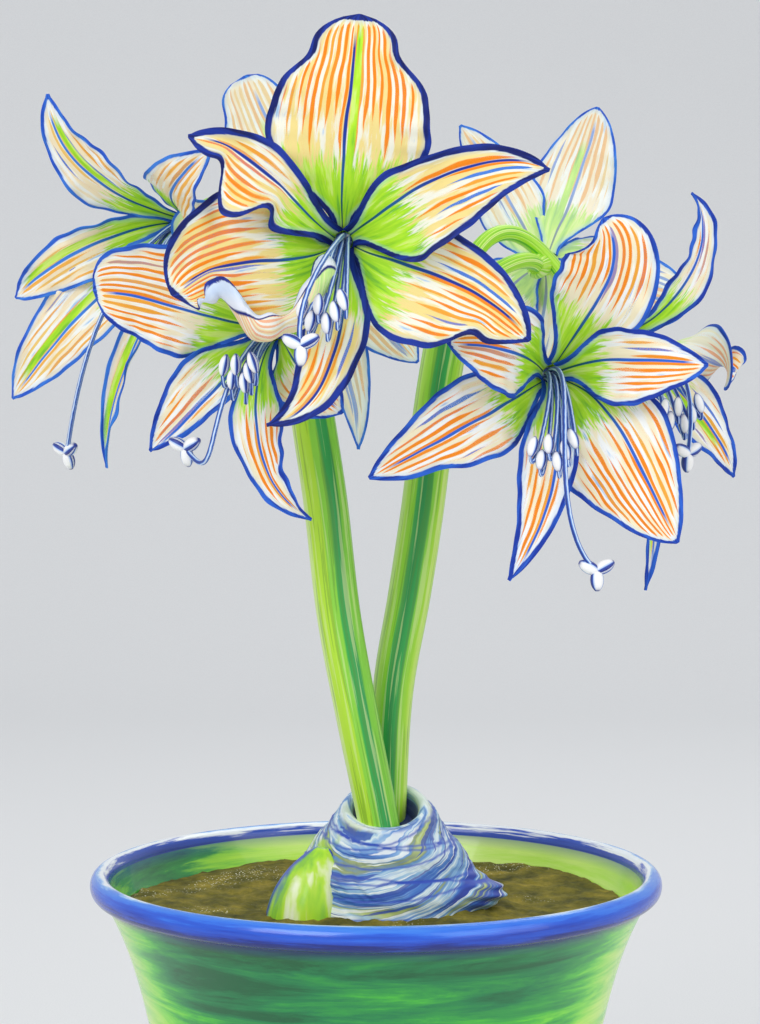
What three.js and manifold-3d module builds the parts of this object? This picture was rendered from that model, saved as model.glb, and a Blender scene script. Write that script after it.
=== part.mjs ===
// A potted amaryllis: a glazed pot of soil, a bulb half out of it with a young bulb at its side,
// two flower stalks and seven striped blooms.
//
// Millimetres, +Z up, origin at the middle of the pot's foot, +X to the right, -Y to the viewer.

import * as THREE from 'three';
import { mergeVertices } from 'three/addons/utils/BufferGeometryUtils.js';
import Module from 'manifold-3d';

const wasm = await Module();
wasm.setup();

// Driving dimensions

const gap = 0.3;

const potHeight = 200;
const potFootRadius = 82;
const potSpread = 0.222;
const potFlareStart = 120;
const potFlare = 7.7;
const potWall = 6;
const potFloor = 8;
const rimRadius = 138;
const rimThickness = 9.6;
const rimDepth = 12;

const soilDepthBelowRim = 18;
const soilSwell = 1.6;

const bulbX = 4.5;
const bulbBottom = 106;
const bulbRadius = 45;
const bulbWidestZ = 168;
const neckHeight = 230;
const neckRadius = 24;
const neckTilt = 7.6;
const mouthDepth = 14;
const lipThickness = 4.2;
const bulbSides = 20;

const stalkRadius = 10.6;
const stalkFootZ = 192;
const stalkGrowth = 0.9;
const pedicelRadius = 4;
const ovaryLength = 16;
const ovaryRadius = 6.4;

const tubeFootRadius = 4.6;
const tubeLength = 21;
const throatRadius = 7.6;
const clawWidth = 11;
const dentSpread = 0.08;
const tubeTop = -4;
const tepalThickness = 0.9;

// Colours

const colour = {
  glaze: 0x2f9e46,
  soil: 0x6b6416,
  tunic: 0xa9c4d4,
  youngBulb: 0xb5d84a,
  stalk: 0x8fd034,
  petal: 0xf6e6c8,
  stamen: 0xe8f2fb,
};

function finish(hex, roughness) {
  return new THREE.MeshStandardMaterial({ color: hex, roughness, metalness: 0 });
}

// Solids: a closed mesh into a body that can be joined and cut, and back

function bodyOf(geometry) {
  const bare = geometry.clone();
  bare.deleteAttribute('normal');
  bare.deleteAttribute('uv');
  const merged = mergeVertices(bare, 1e-4);
  const mesh = new wasm.Mesh({
    numProp: 3,
    vertProperties: new Float32Array(merged.attributes.position.array),
    triVerts: new Uint32Array(merged.index.array),
  });
  return new wasm.Manifold(mesh);
}

function geometryOf(body) {
  const mesh = body.getMesh();
  const geometry = new THREE.BufferGeometry();
  geometry.setAttribute('position', new THREE.BufferAttribute(mesh.vertProperties, 3));
  geometry.setIndex(new THREE.BufferAttribute(mesh.triVerts, 1));
  return geometry;
}

// The largest piece of a body: a scrap or a hollow that the joining sealed is left off.
function largest(body) {
  const pieces = body.decompose();
  pieces.sort((a, b) => b.volume() - a.volume());
  return pieces[0];
}

function joined(geometries) {
  const bodies = geometries.map(bodyOf);
  const whole = bodies.slice(1).reduce((sum, body) => sum.add(body), bodies[0]);
  return largest(whole);
}

function meshOf(name, geometry, material) {
  const mesh = new THREE.Mesh(geometry, material);
  mesh.name = name;
  return mesh;
}

// A closed skin from rings of points: each ring is joined to the next, the two end rings are closed
// by a point at their middle.
function skinOf(rings) {
  const sides = rings[0].length;
  const points = rings.flat();
  const middle = (ring) => ring.reduce((sum, p) => sum.add(p), new THREE.Vector3()).divideScalar(sides);
  const first = points.push(middle(rings[0])) - 1;
  const last = points.push(middle(rings.at(-1))) - 1;
  const index = [];
  for (let row = 0; row < rings.length; row++) {
    for (let side = 0; side < sides; side++) {
      const here = row * sides + side;
      const beside = row * sides + (side + 1) % sides;
      if (row === 0) index.push(first, beside, here);
      if (row === rings.length - 1) index.push(last, here, beside);
      else index.push(here, beside, beside + sides, here, beside + sides, here + sides);
    }
  }
  return closedGeometry(points, index);
}

function closedGeometry(points, index) {
  const geometry = new THREE.BufferGeometry();
  geometry.setFromPoints(points);
  geometry.setIndex(index);
  return geometry;
}

// A stem along a row of points, with a round section of its own radius at each.
function stemThrough(points, radii, sides) {
  let normal = new THREE.Vector3(1, 0.31, 0.17);
  const rings = points.map((centre, row) => {
    const before = points[Math.max(0, row - 1)];
    const after = points[Math.min(points.length - 1, row + 1)];
    const along = after.clone().sub(before).normalize();
    normal = normal.clone().addScaledVector(along, -normal.dot(along)).normalize();
    const across = along.clone().cross(normal);
    const ring = [];
    for (let side = 0; side < sides; side++) {
      const angle = 2 * Math.PI * side / sides;
      ring.push(centre.clone()
        .addScaledVector(normal, radii[row] * Math.cos(angle))
        .addScaledVector(across, radii[row] * Math.sin(angle)));
    }
    return ring;
  });
  return skinOf(rings);
}

// A stem along a curve, with the radius that radiusAt gives at each share of its length.
function stemOf(curve, radiusAt, sides, steps) {
  const points = curve.getSpacedPoints(steps);
  return stemThrough(points, points.map((_, step) => radiusAt(step / steps)), sides);
}

function smoothStep(value) {
  const share = Math.min(1, Math.max(0, value));
  return share * share * (3 - 2 * share);
}

function vector(point) {
  return new THREE.Vector3(...point);
}

// Pot: turned, straight up to the flare, with a rolled rim

const rimMiddleRadius = rimRadius - rimThickness / 2;
const rimMiddleZ = potHeight - rimDepth / 2;
const rimUnderside = potHeight - rimDepth;

function potRadius(z) {
  const flare = Math.max(0, (z - potFlareStart) / (rimUnderside - potFlareStart));
  return potFootRadius + potSpread * z + potFlare * flare ** 3;
}

function potGeometry() {
  const sides = 34;
  const outside = [2, 110, 150, 183].map((z) => new THREE.Vector2(potRadius(z), z));
  const inside = [182, 150, 110, 14].map((z) => new THREE.Vector2(potRadius(z) - potWall, z));
  const roll = [];
  for (let turn = -100; turn <= 180; turn += 56) {
    const angle = THREE.MathUtils.degToRad(turn);
    roll.push(new THREE.Vector2(
      rimMiddleRadius + rimThickness / 2 * Math.cos(angle),
      rimMiddleZ + rimDepth / 2 * Math.sin(angle),
    ));
  }
  const profile = [
    new THREE.Vector2(0, 0),
    new THREE.Vector2(potFootRadius - 1, 0),
    ...outside,
    ...roll,
    ...inside,
    new THREE.Vector2(potRadius(potFloor) - potWall - 5, potFloor),
    new THREE.Vector2(0, potFloor),
  ];
  return turned(profile, sides);
}

function turned(profile, sides) {
  const geometry = new THREE.LatheGeometry(profile, sides);
  geometry.rotateX(Math.PI / 2);
  return geometry;
}

// Bulb: rings from the basal plate up to the lip of the neck, then down inside to the mouth's floor

const bulbRows = [
  // [height, radius, share of the neck's tilt]
  [bulbBottom, 16, 0],
  [bulbBottom + 12, 31, 0],
  [bulbBottom + 36, 42, 0],
  [bulbWidestZ, bulbRadius, 0],
  [182, 44, 0],
  [191, 43, 0.05],
  [199, 40.5, 0.1],
  [205, 39.5, 0.2],
  [211, 37, 0.35],
  [217, 35, 0.55],
  [222, 31, 0.75],
  [226, 29, 0.9],
  [neckHeight, neckRadius, 1],
];

function bulbRadiusNear(radius, z, angle) {
  const wraps = 1.1 * Math.sin(angle * 2 + z * 0.28) * smoothStep((z - 180) / 12);
  const flapHeight = Math.exp(-(((z - 192) / 9) ** 2));
  const fromFlap = Math.atan2(Math.sin(angle + 0.25), Math.cos(angle + 0.25));
  const flap = 15 * flapHeight * Math.exp(-((fromFlap / 0.3) ** 2));
  return radius + wraps + flap;
}

function bulbRing([z, radius, tilt], sides, grow = 0) {
  const ring = [];
  for (let side = 0; side < sides; side++) {
    const angle = 2 * Math.PI * side / sides;
    const reach = bulbRadiusNear(radius, z, angle) + grow;
    ring.push(new THREE.Vector3(
      bulbX + reach * Math.cos(angle) * (1 - 0.12 * tilt),
      reach * Math.sin(angle),
      z + tilt * neckTilt * Math.sin(angle),
    ));
  }
  return ring;
}

function bulbGeometry() {
  const sides = bulbSides;
  const mouth = [
    [neckHeight, neckRadius - lipThickness, 1],
    [neckHeight - mouthDepth, neckRadius - lipThickness - 2, 1],
  ];
  return skinOf([...bulbRows, ...mouth].map((row) => bulbRing(row, sides)));
}

function bulbHole() {
  return skinOf(bulbRows.map((row) => bulbRing(row, bulbSides, gap)));
}

// Young bulb: a pointed egg that leans on the left of the bulb

const youngBulb = {
  foot: [-38, -20, 152],
  tip: [-25, -22, 214],
  radius: 21,
};

function youngBulbGeometry(grow) {
  const foot = vector(youngBulb.foot);
  const tip = vector(youngBulb.tip);
  const spine = new THREE.LineCurve3(foot, tip);
  const radiusAt = (share) => grow + youngBulb.radius * Math.sin(Math.PI * (0.12 + 0.86 * share)) ** 0.7;
  return stemOf(spine, radiusAt, 10, 7);
}

// Soil: fills the pot, rises and falls a little, and has the bulbs' holes

const soilTop = potHeight - soilDepthBelowRim;

function soilHeight(x, y) {
  return soilTop + soilSwell * Math.sin(x / 21 + 0.6) * Math.cos(y / 27);
}

function soilGeometry() {
  const sides = 22;
  const rows = [
    [potRadius(potFloor) - potWall - 6, potFloor + gap],
    [potRadius(14) - potWall - gap - 1.2, 14.5],
    [potRadius(110) - potWall - gap - 1.2, 110],
    [potRadius(150) - potWall - gap - 1.2, 150],
    [potRadius(soilTop - 4) - potWall - gap - 1.6, soilTop - 3],
  ];
  const rings = rows.map(([radius, z]) => circleOf(radius, sides, () => z));
  for (const radius of [116, 84, 54]) {
    rings.push(circleOf(radius, sides, soilHeight));
  }
  return skinOf(rings);
}

function circleOf(radius, sides, heightAt) {
  const ring = [];
  for (let side = 0; side < sides; side++) {
    const angle = 2 * Math.PI * side / sides;
    const x = radius * Math.cos(angle);
    const y = radius * Math.sin(angle);
    ring.push(new THREE.Vector3(x, y, heightAt(x, y)));
  }
  return ring;
}

// Stalks: each a leafless stem from the bulb's neck to the point where the flower stems part

const stalks = {
  left: {
    route: [[7, -10, stalkFootZ], [0.5, -11, 228], [-8.5, -11, 273], [-17.5, -10, 322],
      [-24.5, -9, 381], [-30.5, -8, 421], [-34.8, -8, 452.9]],
    foot: 9.8,
    top: 10.2,
  },
  right: {
    route: [[4.5, 12, stalkFootZ], [5.5, 12, 228], [8.9, 14, 290], [16, 17, 330],
      [21.5, 20, 365], [30, 23, 430], [36.1, 25, 466.1]],
    foot: 9.2,
    top: 10.6,
  },
};

function stalkCurve(stalk) {
  return new THREE.CatmullRomCurve3(stalk.route.map(vector));
}

function stalkRadiusAt(stalk, share) {
  const waist = stalk.foot + (stalkRadius - stalk.foot) * smoothStep(share / 0.6);
  return waist + (stalk.top - stalkRadius) * smoothStep((share - 0.8) / 0.2);
}

function stalkHole(stalk) {
  const route = stalk.route.slice(0, 3).map(vector);
  route[0].z -= 0.5;
  return stemOf(new THREE.CatmullRomCurve3(route), () => stalk.foot + stalkGrowth, 10, 4);
}

// Blooms: where each throat is, how far it turns to the right and lifts, and its petals, three outer
// ones and three inner ones in front of them. A petal leaves the tube at the clock angle `root` and
// its tip lies at `around`, `reach` from the bloom's axis and `out` in front of the throat. `open`
// and `curl` are how far it leans off the axis at its foot and at its tip, and `sway` turns its tip
// round the clock. `arch` is how high the flower stem bows. `anthers` is where the six anthers gather,
// and the style leaves the tube for `lead`, bends at `styleEnd` from the stigma, and ends there.

const plainPetal = {
  left: 21, right: 21, full: 0.5, taper: 3, point: 0.8, leftDents: [], rightDents: [],
  open: 36, curl: 96, sway: 0, twist: 0, trough: 8, rollLeft: 0, rollRight: 0,
  ruffle: 1.6, waves: 2.4, phase: 0,
};

const blooms = [
  {
    name: 'left_front', stalk: 'left', arch: 14, throat: [-14.6, -88, 499.5], turn: 0, lift: 0,
    outer: [
      { root: 90, around: 85.5, reach: 98, out: 18, left: 37, right: 37, taper: 4.6, point: 0.62, open: 40,
        leftDents: [[0.82, 8]], rightDents: [[0.84, 9]], waves: 3.4 },
      { root: 330, around: 331.5, reach: 94, out: 16, left: 24, right: 35, full: 0.42, taper: 3, sway: -22,
        rightDents: [[0.76, 10]], ruffle: 2.6 },
      { root: 210, around: 198.5, reach: 79, out: 18, left: 78, right: 34, full: 0.45, sway: 34, taper: 4,
        rollLeft: 250, leftDents: [[0.74, 44], [0.85, 26], [0.94, 12]], ruffle: 6, waves: 2.2, phase: 1.2,
        rows: 10 },
    ],
    inner: [
      { root: 30, around: 18, reach: 95, out: 26, left: 14, right: 29, full: 0.35, taper: 2.5, curl: 108,
        sway: -40, trough: 12 },
      { root: 270, around: 248, reach: 88, out: 30, left: 16, right: 19, taper: 2.4, point: 0.9, sway: -55,
        trough: 12 },
      { root: 150, around: 146.7, reach: 80, out: 28, left: 38, right: 14, full: 0.7, sway: 34, taper: 2.6,
        leftDents: [[0.8, 19], [0.9, 9], [0.45, 13]], ruffle: 3, rows: 8 },
    ],
    anthers: [-8, -37, 56],
    stigma: [-17, -47, 66], styleEnd: [-4, 22, 2],
  },
  {
    name: 'left_low', stalk: 'left', arch: 8, throat: [-51.9, -62, 456], turn: -25, lift: -18,
    outer: [
      { root: 216, around: 221.6, reach: 66, out: 32, left: 10, right: 20, full: 0.45, taper: 2.6, sway: -8 },
      { root: 90, around: 89, reach: 50, out: -6, curl: 125 },
      { root: 330, around: 312, reach: 50, out: -4, curl: 120 },
    ],
    inner: [
      { root: 138, around: 157.8, reach: 78, out: 20, left: 24, right: 29, full: 0.45, taper: 5, point: 0.55,
        sway: 26, ruffle: 2.2 },
      { root: 256, around: 288, reach: 82, out: 26, left: 19, right: 13, taper: 2.6, sway: 45,
        leftDents: [[0.72, 6]], twist: 12 },
      { root: 30, around: 34, reach: 46, out: -10, curl: 128 },
    ],
    anthers: [10, -6, 44],
    stigma: [-22, -37, 46], styleEnd: [26, -20, 18], lead: 66,
  },
  {
    name: 'left_far', stalk: 'left', arch: 14, throat: [-97.9, 5, 508], turn: -40, lift: -20,
    outer: [
      { root: 160, around: 194, reach: 73, out: 45, left: 18, right: 10, taper: 3.6, sway: 20, ruffle: 2.4 },
      { root: 270, around: 252, reach: 109, out: 50, left: 10, right: 10, taper: 2, trough: 60 },
      { root: 50, around: 36, reach: 74, out: 22, left: 18, right: 16, curl: 130 },
    ],
    inner: [
      { root: 112, around: 108, reach: 82, out: 32, left: 17, right: 16, sway: -24, taper: 2.6, twist: 32 },
      { root: 212, around: 218, reach: 111, out: 50, left: 20, right: 20, taper: 2.8 },
      { root: 350, around: 8, reach: 60, out: 6, left: 16, right: 16, curl: 110 },
    ],
    anthers: [13, -25, 46],
    stigma: [-50, -93, 58], styleEnd: [26, 32, 8], lead: 56,
  },
  {
    name: 'left_back', stalk: 'left', arch: 14, throat: [-29.6, 80, 495], turn: 180, lift: 5,
    outer: [
      { root: 80, around: 68.6, reach: 101, out: 14, left: 18, right: 27, full: 0.6, taper: 8, point: 0.5,
        rightDents: [[0.86, 5]] },
      { root: 212, around: 225.5, reach: 73, out: 12 },
      { root: 330, around: 312, reach: 66, out: 8 },
    ],
    inner: [
      { root: 264, around: 258.3, reach: 100, out: 18, left: 15, right: 15, sway: 14, taper: 2.4 },
      { root: 20, around: 12, reach: 56, out: 6, curl: 122 },
      { root: 142, around: 112, reach: 74, out: 16 },
    ],
    anthers: [0, -30, 58],
    stigma: [4, -44, 70], styleEnd: [-4, 22, 2],
  },
  {
    name: 'right_front', stalk: 'right', arch: 14, throat: [83.1, -42, 440.3], turn: 8, lift: 8,
    outer: [
      { root: 62, around: 74.7, reach: 70, out: 26, left: 26, right: 22, taper: 6, point: 0.7, sway: 58,
        leftDents: [[0.9, 7]], ruffle: 2 },
      { root: 330, around: 302.2, reach: 96, out: 20, left: 25, right: 39, full: 0.5, taper: 3, ruffle: 2.2 },
      { root: 210, around: 209.1, reach: 104, out: 20, left: 23, right: 21, leftDents: [[0.74, 5]],
        ruffle: 2.8 },
    ],
    inner: [
      { root: 16, around: -1, reach: 64, out: 34, left: 18, right: 23, trough: 16 },
      { root: 264, around: 253.5, reach: 102, out: 26, left: 12, right: 19, sway: -20, taper: 2.4 },
      { root: 150, around: 172, reach: 58, out: 42, left: 24, right: 22, curl: 130, trough: -10 },
    ],
    anthers: [-12, -46, 50],
    stigma: [4, -96, 60], styleEnd: [-28, 22, 12], lead: 66,
  },
  {
    name: 'right_side', stalk: 'right', arch: 77, throat: [127.5, 28, 456], turn: 35, lift: -5,
    outer: [
      { root: 36, around: 74, reach: 75, out: 10, left: 11, right: 12, sway: 66, taper: 2.4, curl: 100 },
      { root: 300, around: 303, reach: 78, out: 30, left: 17, right: 17, taper: 2.6 },
      { root: 180, around: 170, reach: 42, out: -8, left: 18, right: 18, curl: 130 },
    ],
    inner: [
      { root: 0, around: 341, reach: 46, out: 25, left: 17, right: 17, open: 52, curl: 140, taper: 4,
        point: 0.6 },
      { root: 244, around: 266, reach: 120, out: 28, left: 12, right: 12, taper: 2 },
      { root: 120, around: 128, reach: 44, out: -8, left: 18, right: 18, curl: 130 },
    ],
    anthers: [-8, -36, 46],
    stigma: [-10, -50, 54], styleEnd: [0, 20, 2],
  },
  {
    name: 'right_back', stalk: 'right', arch: 16, throat: [89, 92, 495.5], turn: 165, lift: 5,
    outer: [
      { root: 98, around: 106, reach: 81.2, out: 18, left: 23, right: 23, taper: 3.4, point: 0.7 },
      { root: 330, around: 325, reach: 66, out: 12 },
      { root: 206, around: 198.5, reach: 74, out: 12, left: 22, right: 20, taper: 5, point: 0.6 },
    ],
    inner: [
      { root: 36, around: 55, reach: 86, out: 14, left: 20, right: 20 },
      { root: 274, around: 282, reach: 74, out: 16 },
      { root: 156, around: 190, reach: 48, out: 20, left: 14, right: 14 },
    ],
    anthers: [0, -30, 56],
    stigma: [6, -44, 68], styleEnd: [-4, 22, 2],
  },
];

function polar(around, reach, out) {
  const angle = THREE.MathUtils.degToRad(around);
  return new THREE.Vector3(reach * Math.cos(angle), reach * Math.sin(angle), out);
}

function leaning(around, lean) {
  const angle = THREE.MathUtils.degToRad(lean);
  return polar(around, Math.sin(angle), Math.cos(angle));
}

// A petal's midrib: from inside the tube's rim to the tip.
function midribOf(petal) {
  const foot = polar(petal.root, throatRadius - (petal.inner ? 3.1 : 1.7), -9);
  const tip = polar(petal.around, petal.reach, petal.out);
  const third = foot.distanceTo(tip) * 0.38;
  return new THREE.CubicBezierCurve3(
    foot,
    foot.clone().addScaledVector(leaning(petal.root, petal.open - (petal.inner ? 5 : 0)), third),
    tip.clone().addScaledVector(leaning(petal.around + petal.sway, petal.curl), -third),
    tip,
  );
}

// A margin's distance from the midrib: it widens from the claw until `full`, closes to the tip, more
// roundly the larger `taper` and the smaller `point` are, and draws in at each dent [share, depth].
function marginReach(petal, share, side) {
  const claw = clawWidth / 2 * (1 - share) ** 3;
  const widest = (side > 0 ? petal.left : petal.right) * smoothStep(share / petal.full);
  const closing = Math.max(0, 1 - share ** petal.taper) ** petal.point;
  const dents = side > 0 ? petal.leftDents : petal.rightDents;
  const notch = ([at, depth]) => depth * Math.exp(-(((share - at) / dentSpread) ** 2));
  const drawn = dents.map(notch).reduce((sum, depth) => sum + depth, 0);
  return Math.max(0.8, claw + (widest - drawn) * closing);
}

// One point of the petal's middle layer and its normal. `side` runs from -1 at the right margin to 1
// at the left one, for an eye in front of the bloom that sees the tip upwards.
function petalPoint(petal, midrib, share, side) {
  const along = midrib.getTangent(share);
  const clock = THREE.MathUtils.lerp(petal.root, petal.around, share);
  const across = polar(clock + 90, 1, 0);
  across.addScaledVector(along, -across.dot(along)).normalize();
  across.applyAxisAngle(along, THREE.MathUtils.degToRad(petal.twist * share ** 1.5));
  const face = along.clone().cross(across);

  const half = marginReach(petal, share, side);
  const middle = midrib.getPoint(share);
  const roundTheAxis = half * Math.max(0, along.z) / Math.hypot(middle.x, middle.y);
  const cup = THREE.MathUtils.degToRad(petal.trough) * smoothStep(share / 0.6);
  const bend = Math.min(roundTheAxis, 1.3) * (1 - 0.6 * share) + cup;
  const rollTotal = THREE.MathUtils.degToRad(side > 0 ? petal.rollLeft : petal.rollRight);
  const roll = rollTotal * smoothStep(share / 0.3) * smoothStep((1 - share) / 0.2);
  const steps = 10;
  let sideways = 0;
  let forwards = 0;
  for (let step = 0.5; step < steps; step++) {
    const part = Math.abs(side) * step / steps;
    const angle = bend * part + roll * part ** 3;
    sideways += Math.cos(angle) * Math.abs(side) / steps;
    forwards += Math.sin(angle) * Math.abs(side) / steps;
  }
  const tilt = Math.sign(side) * (bend * Math.abs(side) + roll * Math.abs(side) ** 3);
  const normal = face.clone().multiplyScalar(Math.cos(tilt)).addScaledVector(across, -Math.sin(tilt));
  const edge = Math.abs(side) ** 2.2 * smoothStep(share / 0.35) * smoothStep((1 - share) / 0.12);
  const swing = 2 * Math.PI * petal.waves * share + petal.phase + (side > 0 ? 0 : 1.9);
  const point = middle
    .addScaledVector(across, Math.sign(side) * half * sideways)
    .addScaledVector(face, half * forwards)
    .addScaledVector(normal, petal.ruffle * edge * Math.sin(swing));
  return { point, normal };
}

// A blade: a grid of points thickened along their normals, split into triangles alike on both faces.
function bladeOf(pointAt, along, across, thickness) {
  const faces = [[], []];
  for (let row = 0; row <= along; row++) {
    for (let column = 0; column <= across; column++) {
      const { point, normal } = pointAt(row / along, 2 * column / across - 1);
      faces[0].push(point.clone().addScaledVector(normal, thickness / 2));
      faces[1].push(point.clone().addScaledVector(normal, -thickness / 2));
    }
  }
  const size = faces[0].length;
  const at = (row, column) => row * (across + 1) + column;
  const index = [];
  for (let row = 0; row < along; row++) {
    for (let column = 0; column < across; column++) {
      const corners = [at(row, column), at(row + 1, column), at(row + 1, column + 1), at(row, column + 1)];
      const [a, b, c, d] = corners;
      index.push(a, b, c, a, c, d);
      index.push(size + a, size + c, size + b, size + a, size + d, size + c);
    }
  }
  const wall = (from, to) => index.push(from, to, size + to, from, size + to, size + from);
  for (let row = 0; row < along; row++) {
    wall(at(row + 1, 0), at(row, 0));
    wall(at(row, across), at(row + 1, across));
  }
  for (let column = 0; column < across; column++) {
    wall(at(0, column), at(0, column + 1));
    wall(at(along, column + 1), at(along, column));
  }
  return closedGeometry([...faces[0], ...faces[1]], index);
}

function petalGeometry(petal, inner) {
  const whole = { ...plainPetal, inner, ...petal };
  const midrib = midribOf(whole);
  const rows = whole.rows ?? 4 + (whole.reach > 60 ? 1 : 0) + (whole.reach > 78 ? 1 : 0);
  return bladeOf((share, side) => petalPoint(whole, midrib, share, side), rows, 4, tepalThickness);
}

function tubeGeometry() {
  const profile = [
    new THREE.Vector2(0, -tubeLength),
    new THREE.Vector2(tubeFootRadius, -tubeLength),
    new THREE.Vector2(throatRadius, tubeTop),
    new THREE.Vector2(0, tubeTop),
  ];
  return turned(profile, 10);
}

// Stamens: six bent threads that swell into anthers, and a longer style with three lobes, all from
// one small disc

const threads = [
  // [root across, root up, end across, end up]
  [-2.2, 1.2, -10, 2],
  [-2.2, -1.3, -6, -4],
  [0, 0, -2, 3],
  [0, -2.5, 2, -5],
  [2.2, -1.3, 6.2, 0],
  [2.2, 1.2, 10, 5],
];

function stamenPieces(bloom) {
  const base = tubeTop + gap + 0.7;
  const disc = new THREE.CylinderGeometry(4.1, 4.1, 1.4, 8);
  disc.rotateX(Math.PI / 2);
  disc.translate(0, 0, base);
  const pieces = [disc];
  const gather = vector(bloom.anthers);
  for (const [rootX, rootY, endX, endY] of threads) {
    const root = new THREE.Vector3(rootX, rootY, base);
    const end = gather.clone().add(new THREE.Vector3(endX, endY, endX / 4));
    const route = new THREE.CubicBezierCurve3(
      root,
      root.clone().add(new THREE.Vector3(0, -1, 28)),
      end.clone().add(new THREE.Vector3(0, -15, 3)),
      end,
    );
    const onward = new THREE.Vector3(-0.03 * endX, 1, -0.2);
    const anther = [[0.8, 1.9], [3, 2.5], [6.5, 2.4], [9.2, 1]];
    pieces.push(stemThrough(
      [...route.getPoints(4), ...anther.map(([reach]) => end.clone().addScaledVector(onward, reach))],
      [1, 1, 1, 1, 0.9, ...anther.map(([, radius]) => radius)],
      3,
    ));
  }
  const stigma = vector(bloom.stigma);
  const style = new THREE.CubicBezierCurve3(
    new THREE.Vector3(0, 2.5, base),
    new THREE.Vector3(0, 1, bloom.lead ?? 46),
    stigma.clone().add(new THREE.Vector3(...bloom.styleEnd)),
    stigma,
  );
  pieces.push(stemOf(style, (share) => 1.2 - 0.1 * share, 3, 7));
  const knot = new THREE.SphereGeometry(2.8, 5, 3);
  knot.rotateX(0.7);
  pieces.push(knot.translate(...bloom.stigma));
  for (const lean of [-118, 0, 118]) {
    const across = polar(lean - 90, 1, 0);
    const lobe = [[1, 0.8], [5, 2], [9, 0.8]];
    pieces.push(stemThrough(
      lobe.map(([reach]) => stigma.clone().addScaledVector(across, reach)),
      lobe.map(([, radius]) => radius),
      4,
    ));
  }
  return pieces;
}

// The whole plant

const amaryllis = new THREE.Group();

amaryllis.add(meshOf('pot', potGeometry(), finish(colour.glaze, 0.35)));

const bulbBody = bodyOf(bulbGeometry())
  .subtract(bodyOf(stalkHole(stalks.left)))
  .subtract(bodyOf(stalkHole(stalks.right)))
  .subtract(bodyOf(youngBulbGeometry(gap)));
amaryllis.add(meshOf('bulb', geometryOf(largest(bulbBody)), finish(colour.tunic, 0.6)));
amaryllis.add(meshOf('young_bulb', youngBulbGeometry(0), finish(colour.youngBulb, 0.6)));

const soilBody = bodyOf(soilGeometry())
  .subtract(bodyOf(bulbHole()))
  .subtract(bodyOf(youngBulbGeometry(gap)));
amaryllis.add(meshOf('soil', geometryOf(largest(soilBody)), finish(colour.soil, 1)));

function placed(bloom, object) {
  object.position.set(...bloom.throat);
  const turn = THREE.MathUtils.degToRad(bloom.turn);
  const lift = THREE.MathUtils.degToRad(bloom.lift);
  object.rotation.set(Math.PI / 2 - lift, 0, turn, 'ZYX');
  object.updateMatrixWorld();
  return object;
}

for (const [side, stalk] of Object.entries(stalks)) {
  const curve = stalkCurve(stalk);
  const pieces = [stemOf(curve, (share) => stalkRadiusAt(stalk, share), 10, 10)];
  const crown = curve.getPointAt(1);
  for (const bloom of blooms.filter((each) => each.stalk === side)) {
    const place = placed(bloom, new THREE.Object3D()).matrixWorld;
    const inBloom = (x, y, z) => new THREE.Vector3(x, y, z).applyMatrix4(place);
    const ovaryTop = inBloom(0, 0, -tubeLength - gap);
    const ovaryFoot = inBloom(0, 0, -tubeLength - ovaryLength);
    const before = inBloom(0, 0, -tubeLength - ovaryLength - 14 - bloom.arch / 4);
    before.z += bloom.arch * 0.6;
    const ovary = new THREE.LineCurve3(ovaryFoot, ovaryTop);
    const swell = (share) => pedicelRadius + (ovaryRadius - pedicelRadius) * Math.sin(Math.PI * share) ** 0.8;
    pieces.push(stemOf(ovary, swell, 6, 3));
    const sunk = curve.getPointAt(0.97);
    const pedicel = new THREE.CubicBezierCurve3(
      sunk,
      crown.clone().lerp(before, 0.3).add(new THREE.Vector3(0, 0, bloom.arch * 0.8)),
      before,
      ovaryFoot.clone().lerp(ovaryTop, 0.2),
    );
    pieces.push(stemOf(pedicel, () => pedicelRadius, 5, 5));
  }
  amaryllis.add(meshOf(`stalk_${side}`, geometryOf(joined(pieces)), finish(colour.stalk, 0.5)));
}

for (const bloom of blooms) {
  const head = placed(bloom, new THREE.Group());
  const petals = [
    ...bloom.outer.map((petal) => petalGeometry(petal, false)),
    ...bloom.inner.map((petal) => petalGeometry(petal, true)),
  ];
  const flower = joined([tubeGeometry(), ...petals]);
  head.add(meshOf(`petals_${bloom.name}`, geometryOf(flower), finish(colour.petal, 0.55)));
  const stamens = geometryOf(joined(stamenPieces(bloom)));
  head.add(meshOf(`stamens_${bloom.name}`, stamens, finish(colour.stamen, 0.5)));
  amaryllis.add(head);
}

export default amaryllis;
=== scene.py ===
# A potted amaryllis, dressed: the glazed pot, its soil, the papery bulb and its young one, two
# flower stalks, and seven striped blooms with their stamens.

import math

import bpy
import numpy as np
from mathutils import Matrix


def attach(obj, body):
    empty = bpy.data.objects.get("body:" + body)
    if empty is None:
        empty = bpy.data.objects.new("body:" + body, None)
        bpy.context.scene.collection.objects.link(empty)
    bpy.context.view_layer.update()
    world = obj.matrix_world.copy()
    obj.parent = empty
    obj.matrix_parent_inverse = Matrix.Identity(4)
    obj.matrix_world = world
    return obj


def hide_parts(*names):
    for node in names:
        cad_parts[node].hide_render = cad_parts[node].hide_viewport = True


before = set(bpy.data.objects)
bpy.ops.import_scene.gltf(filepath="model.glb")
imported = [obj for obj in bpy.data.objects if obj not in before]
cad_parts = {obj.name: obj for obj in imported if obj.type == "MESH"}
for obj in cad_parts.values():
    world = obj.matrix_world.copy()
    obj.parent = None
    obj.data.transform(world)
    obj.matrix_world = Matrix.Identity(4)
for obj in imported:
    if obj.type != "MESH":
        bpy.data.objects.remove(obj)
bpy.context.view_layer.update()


# Pot
# Stoneware, thrown on a wheel with a rolled rim and glazed green outside, lime inside and cobalt
# blue on the rim. The glazes were brushed on, so their strokes run round the wall.

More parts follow.
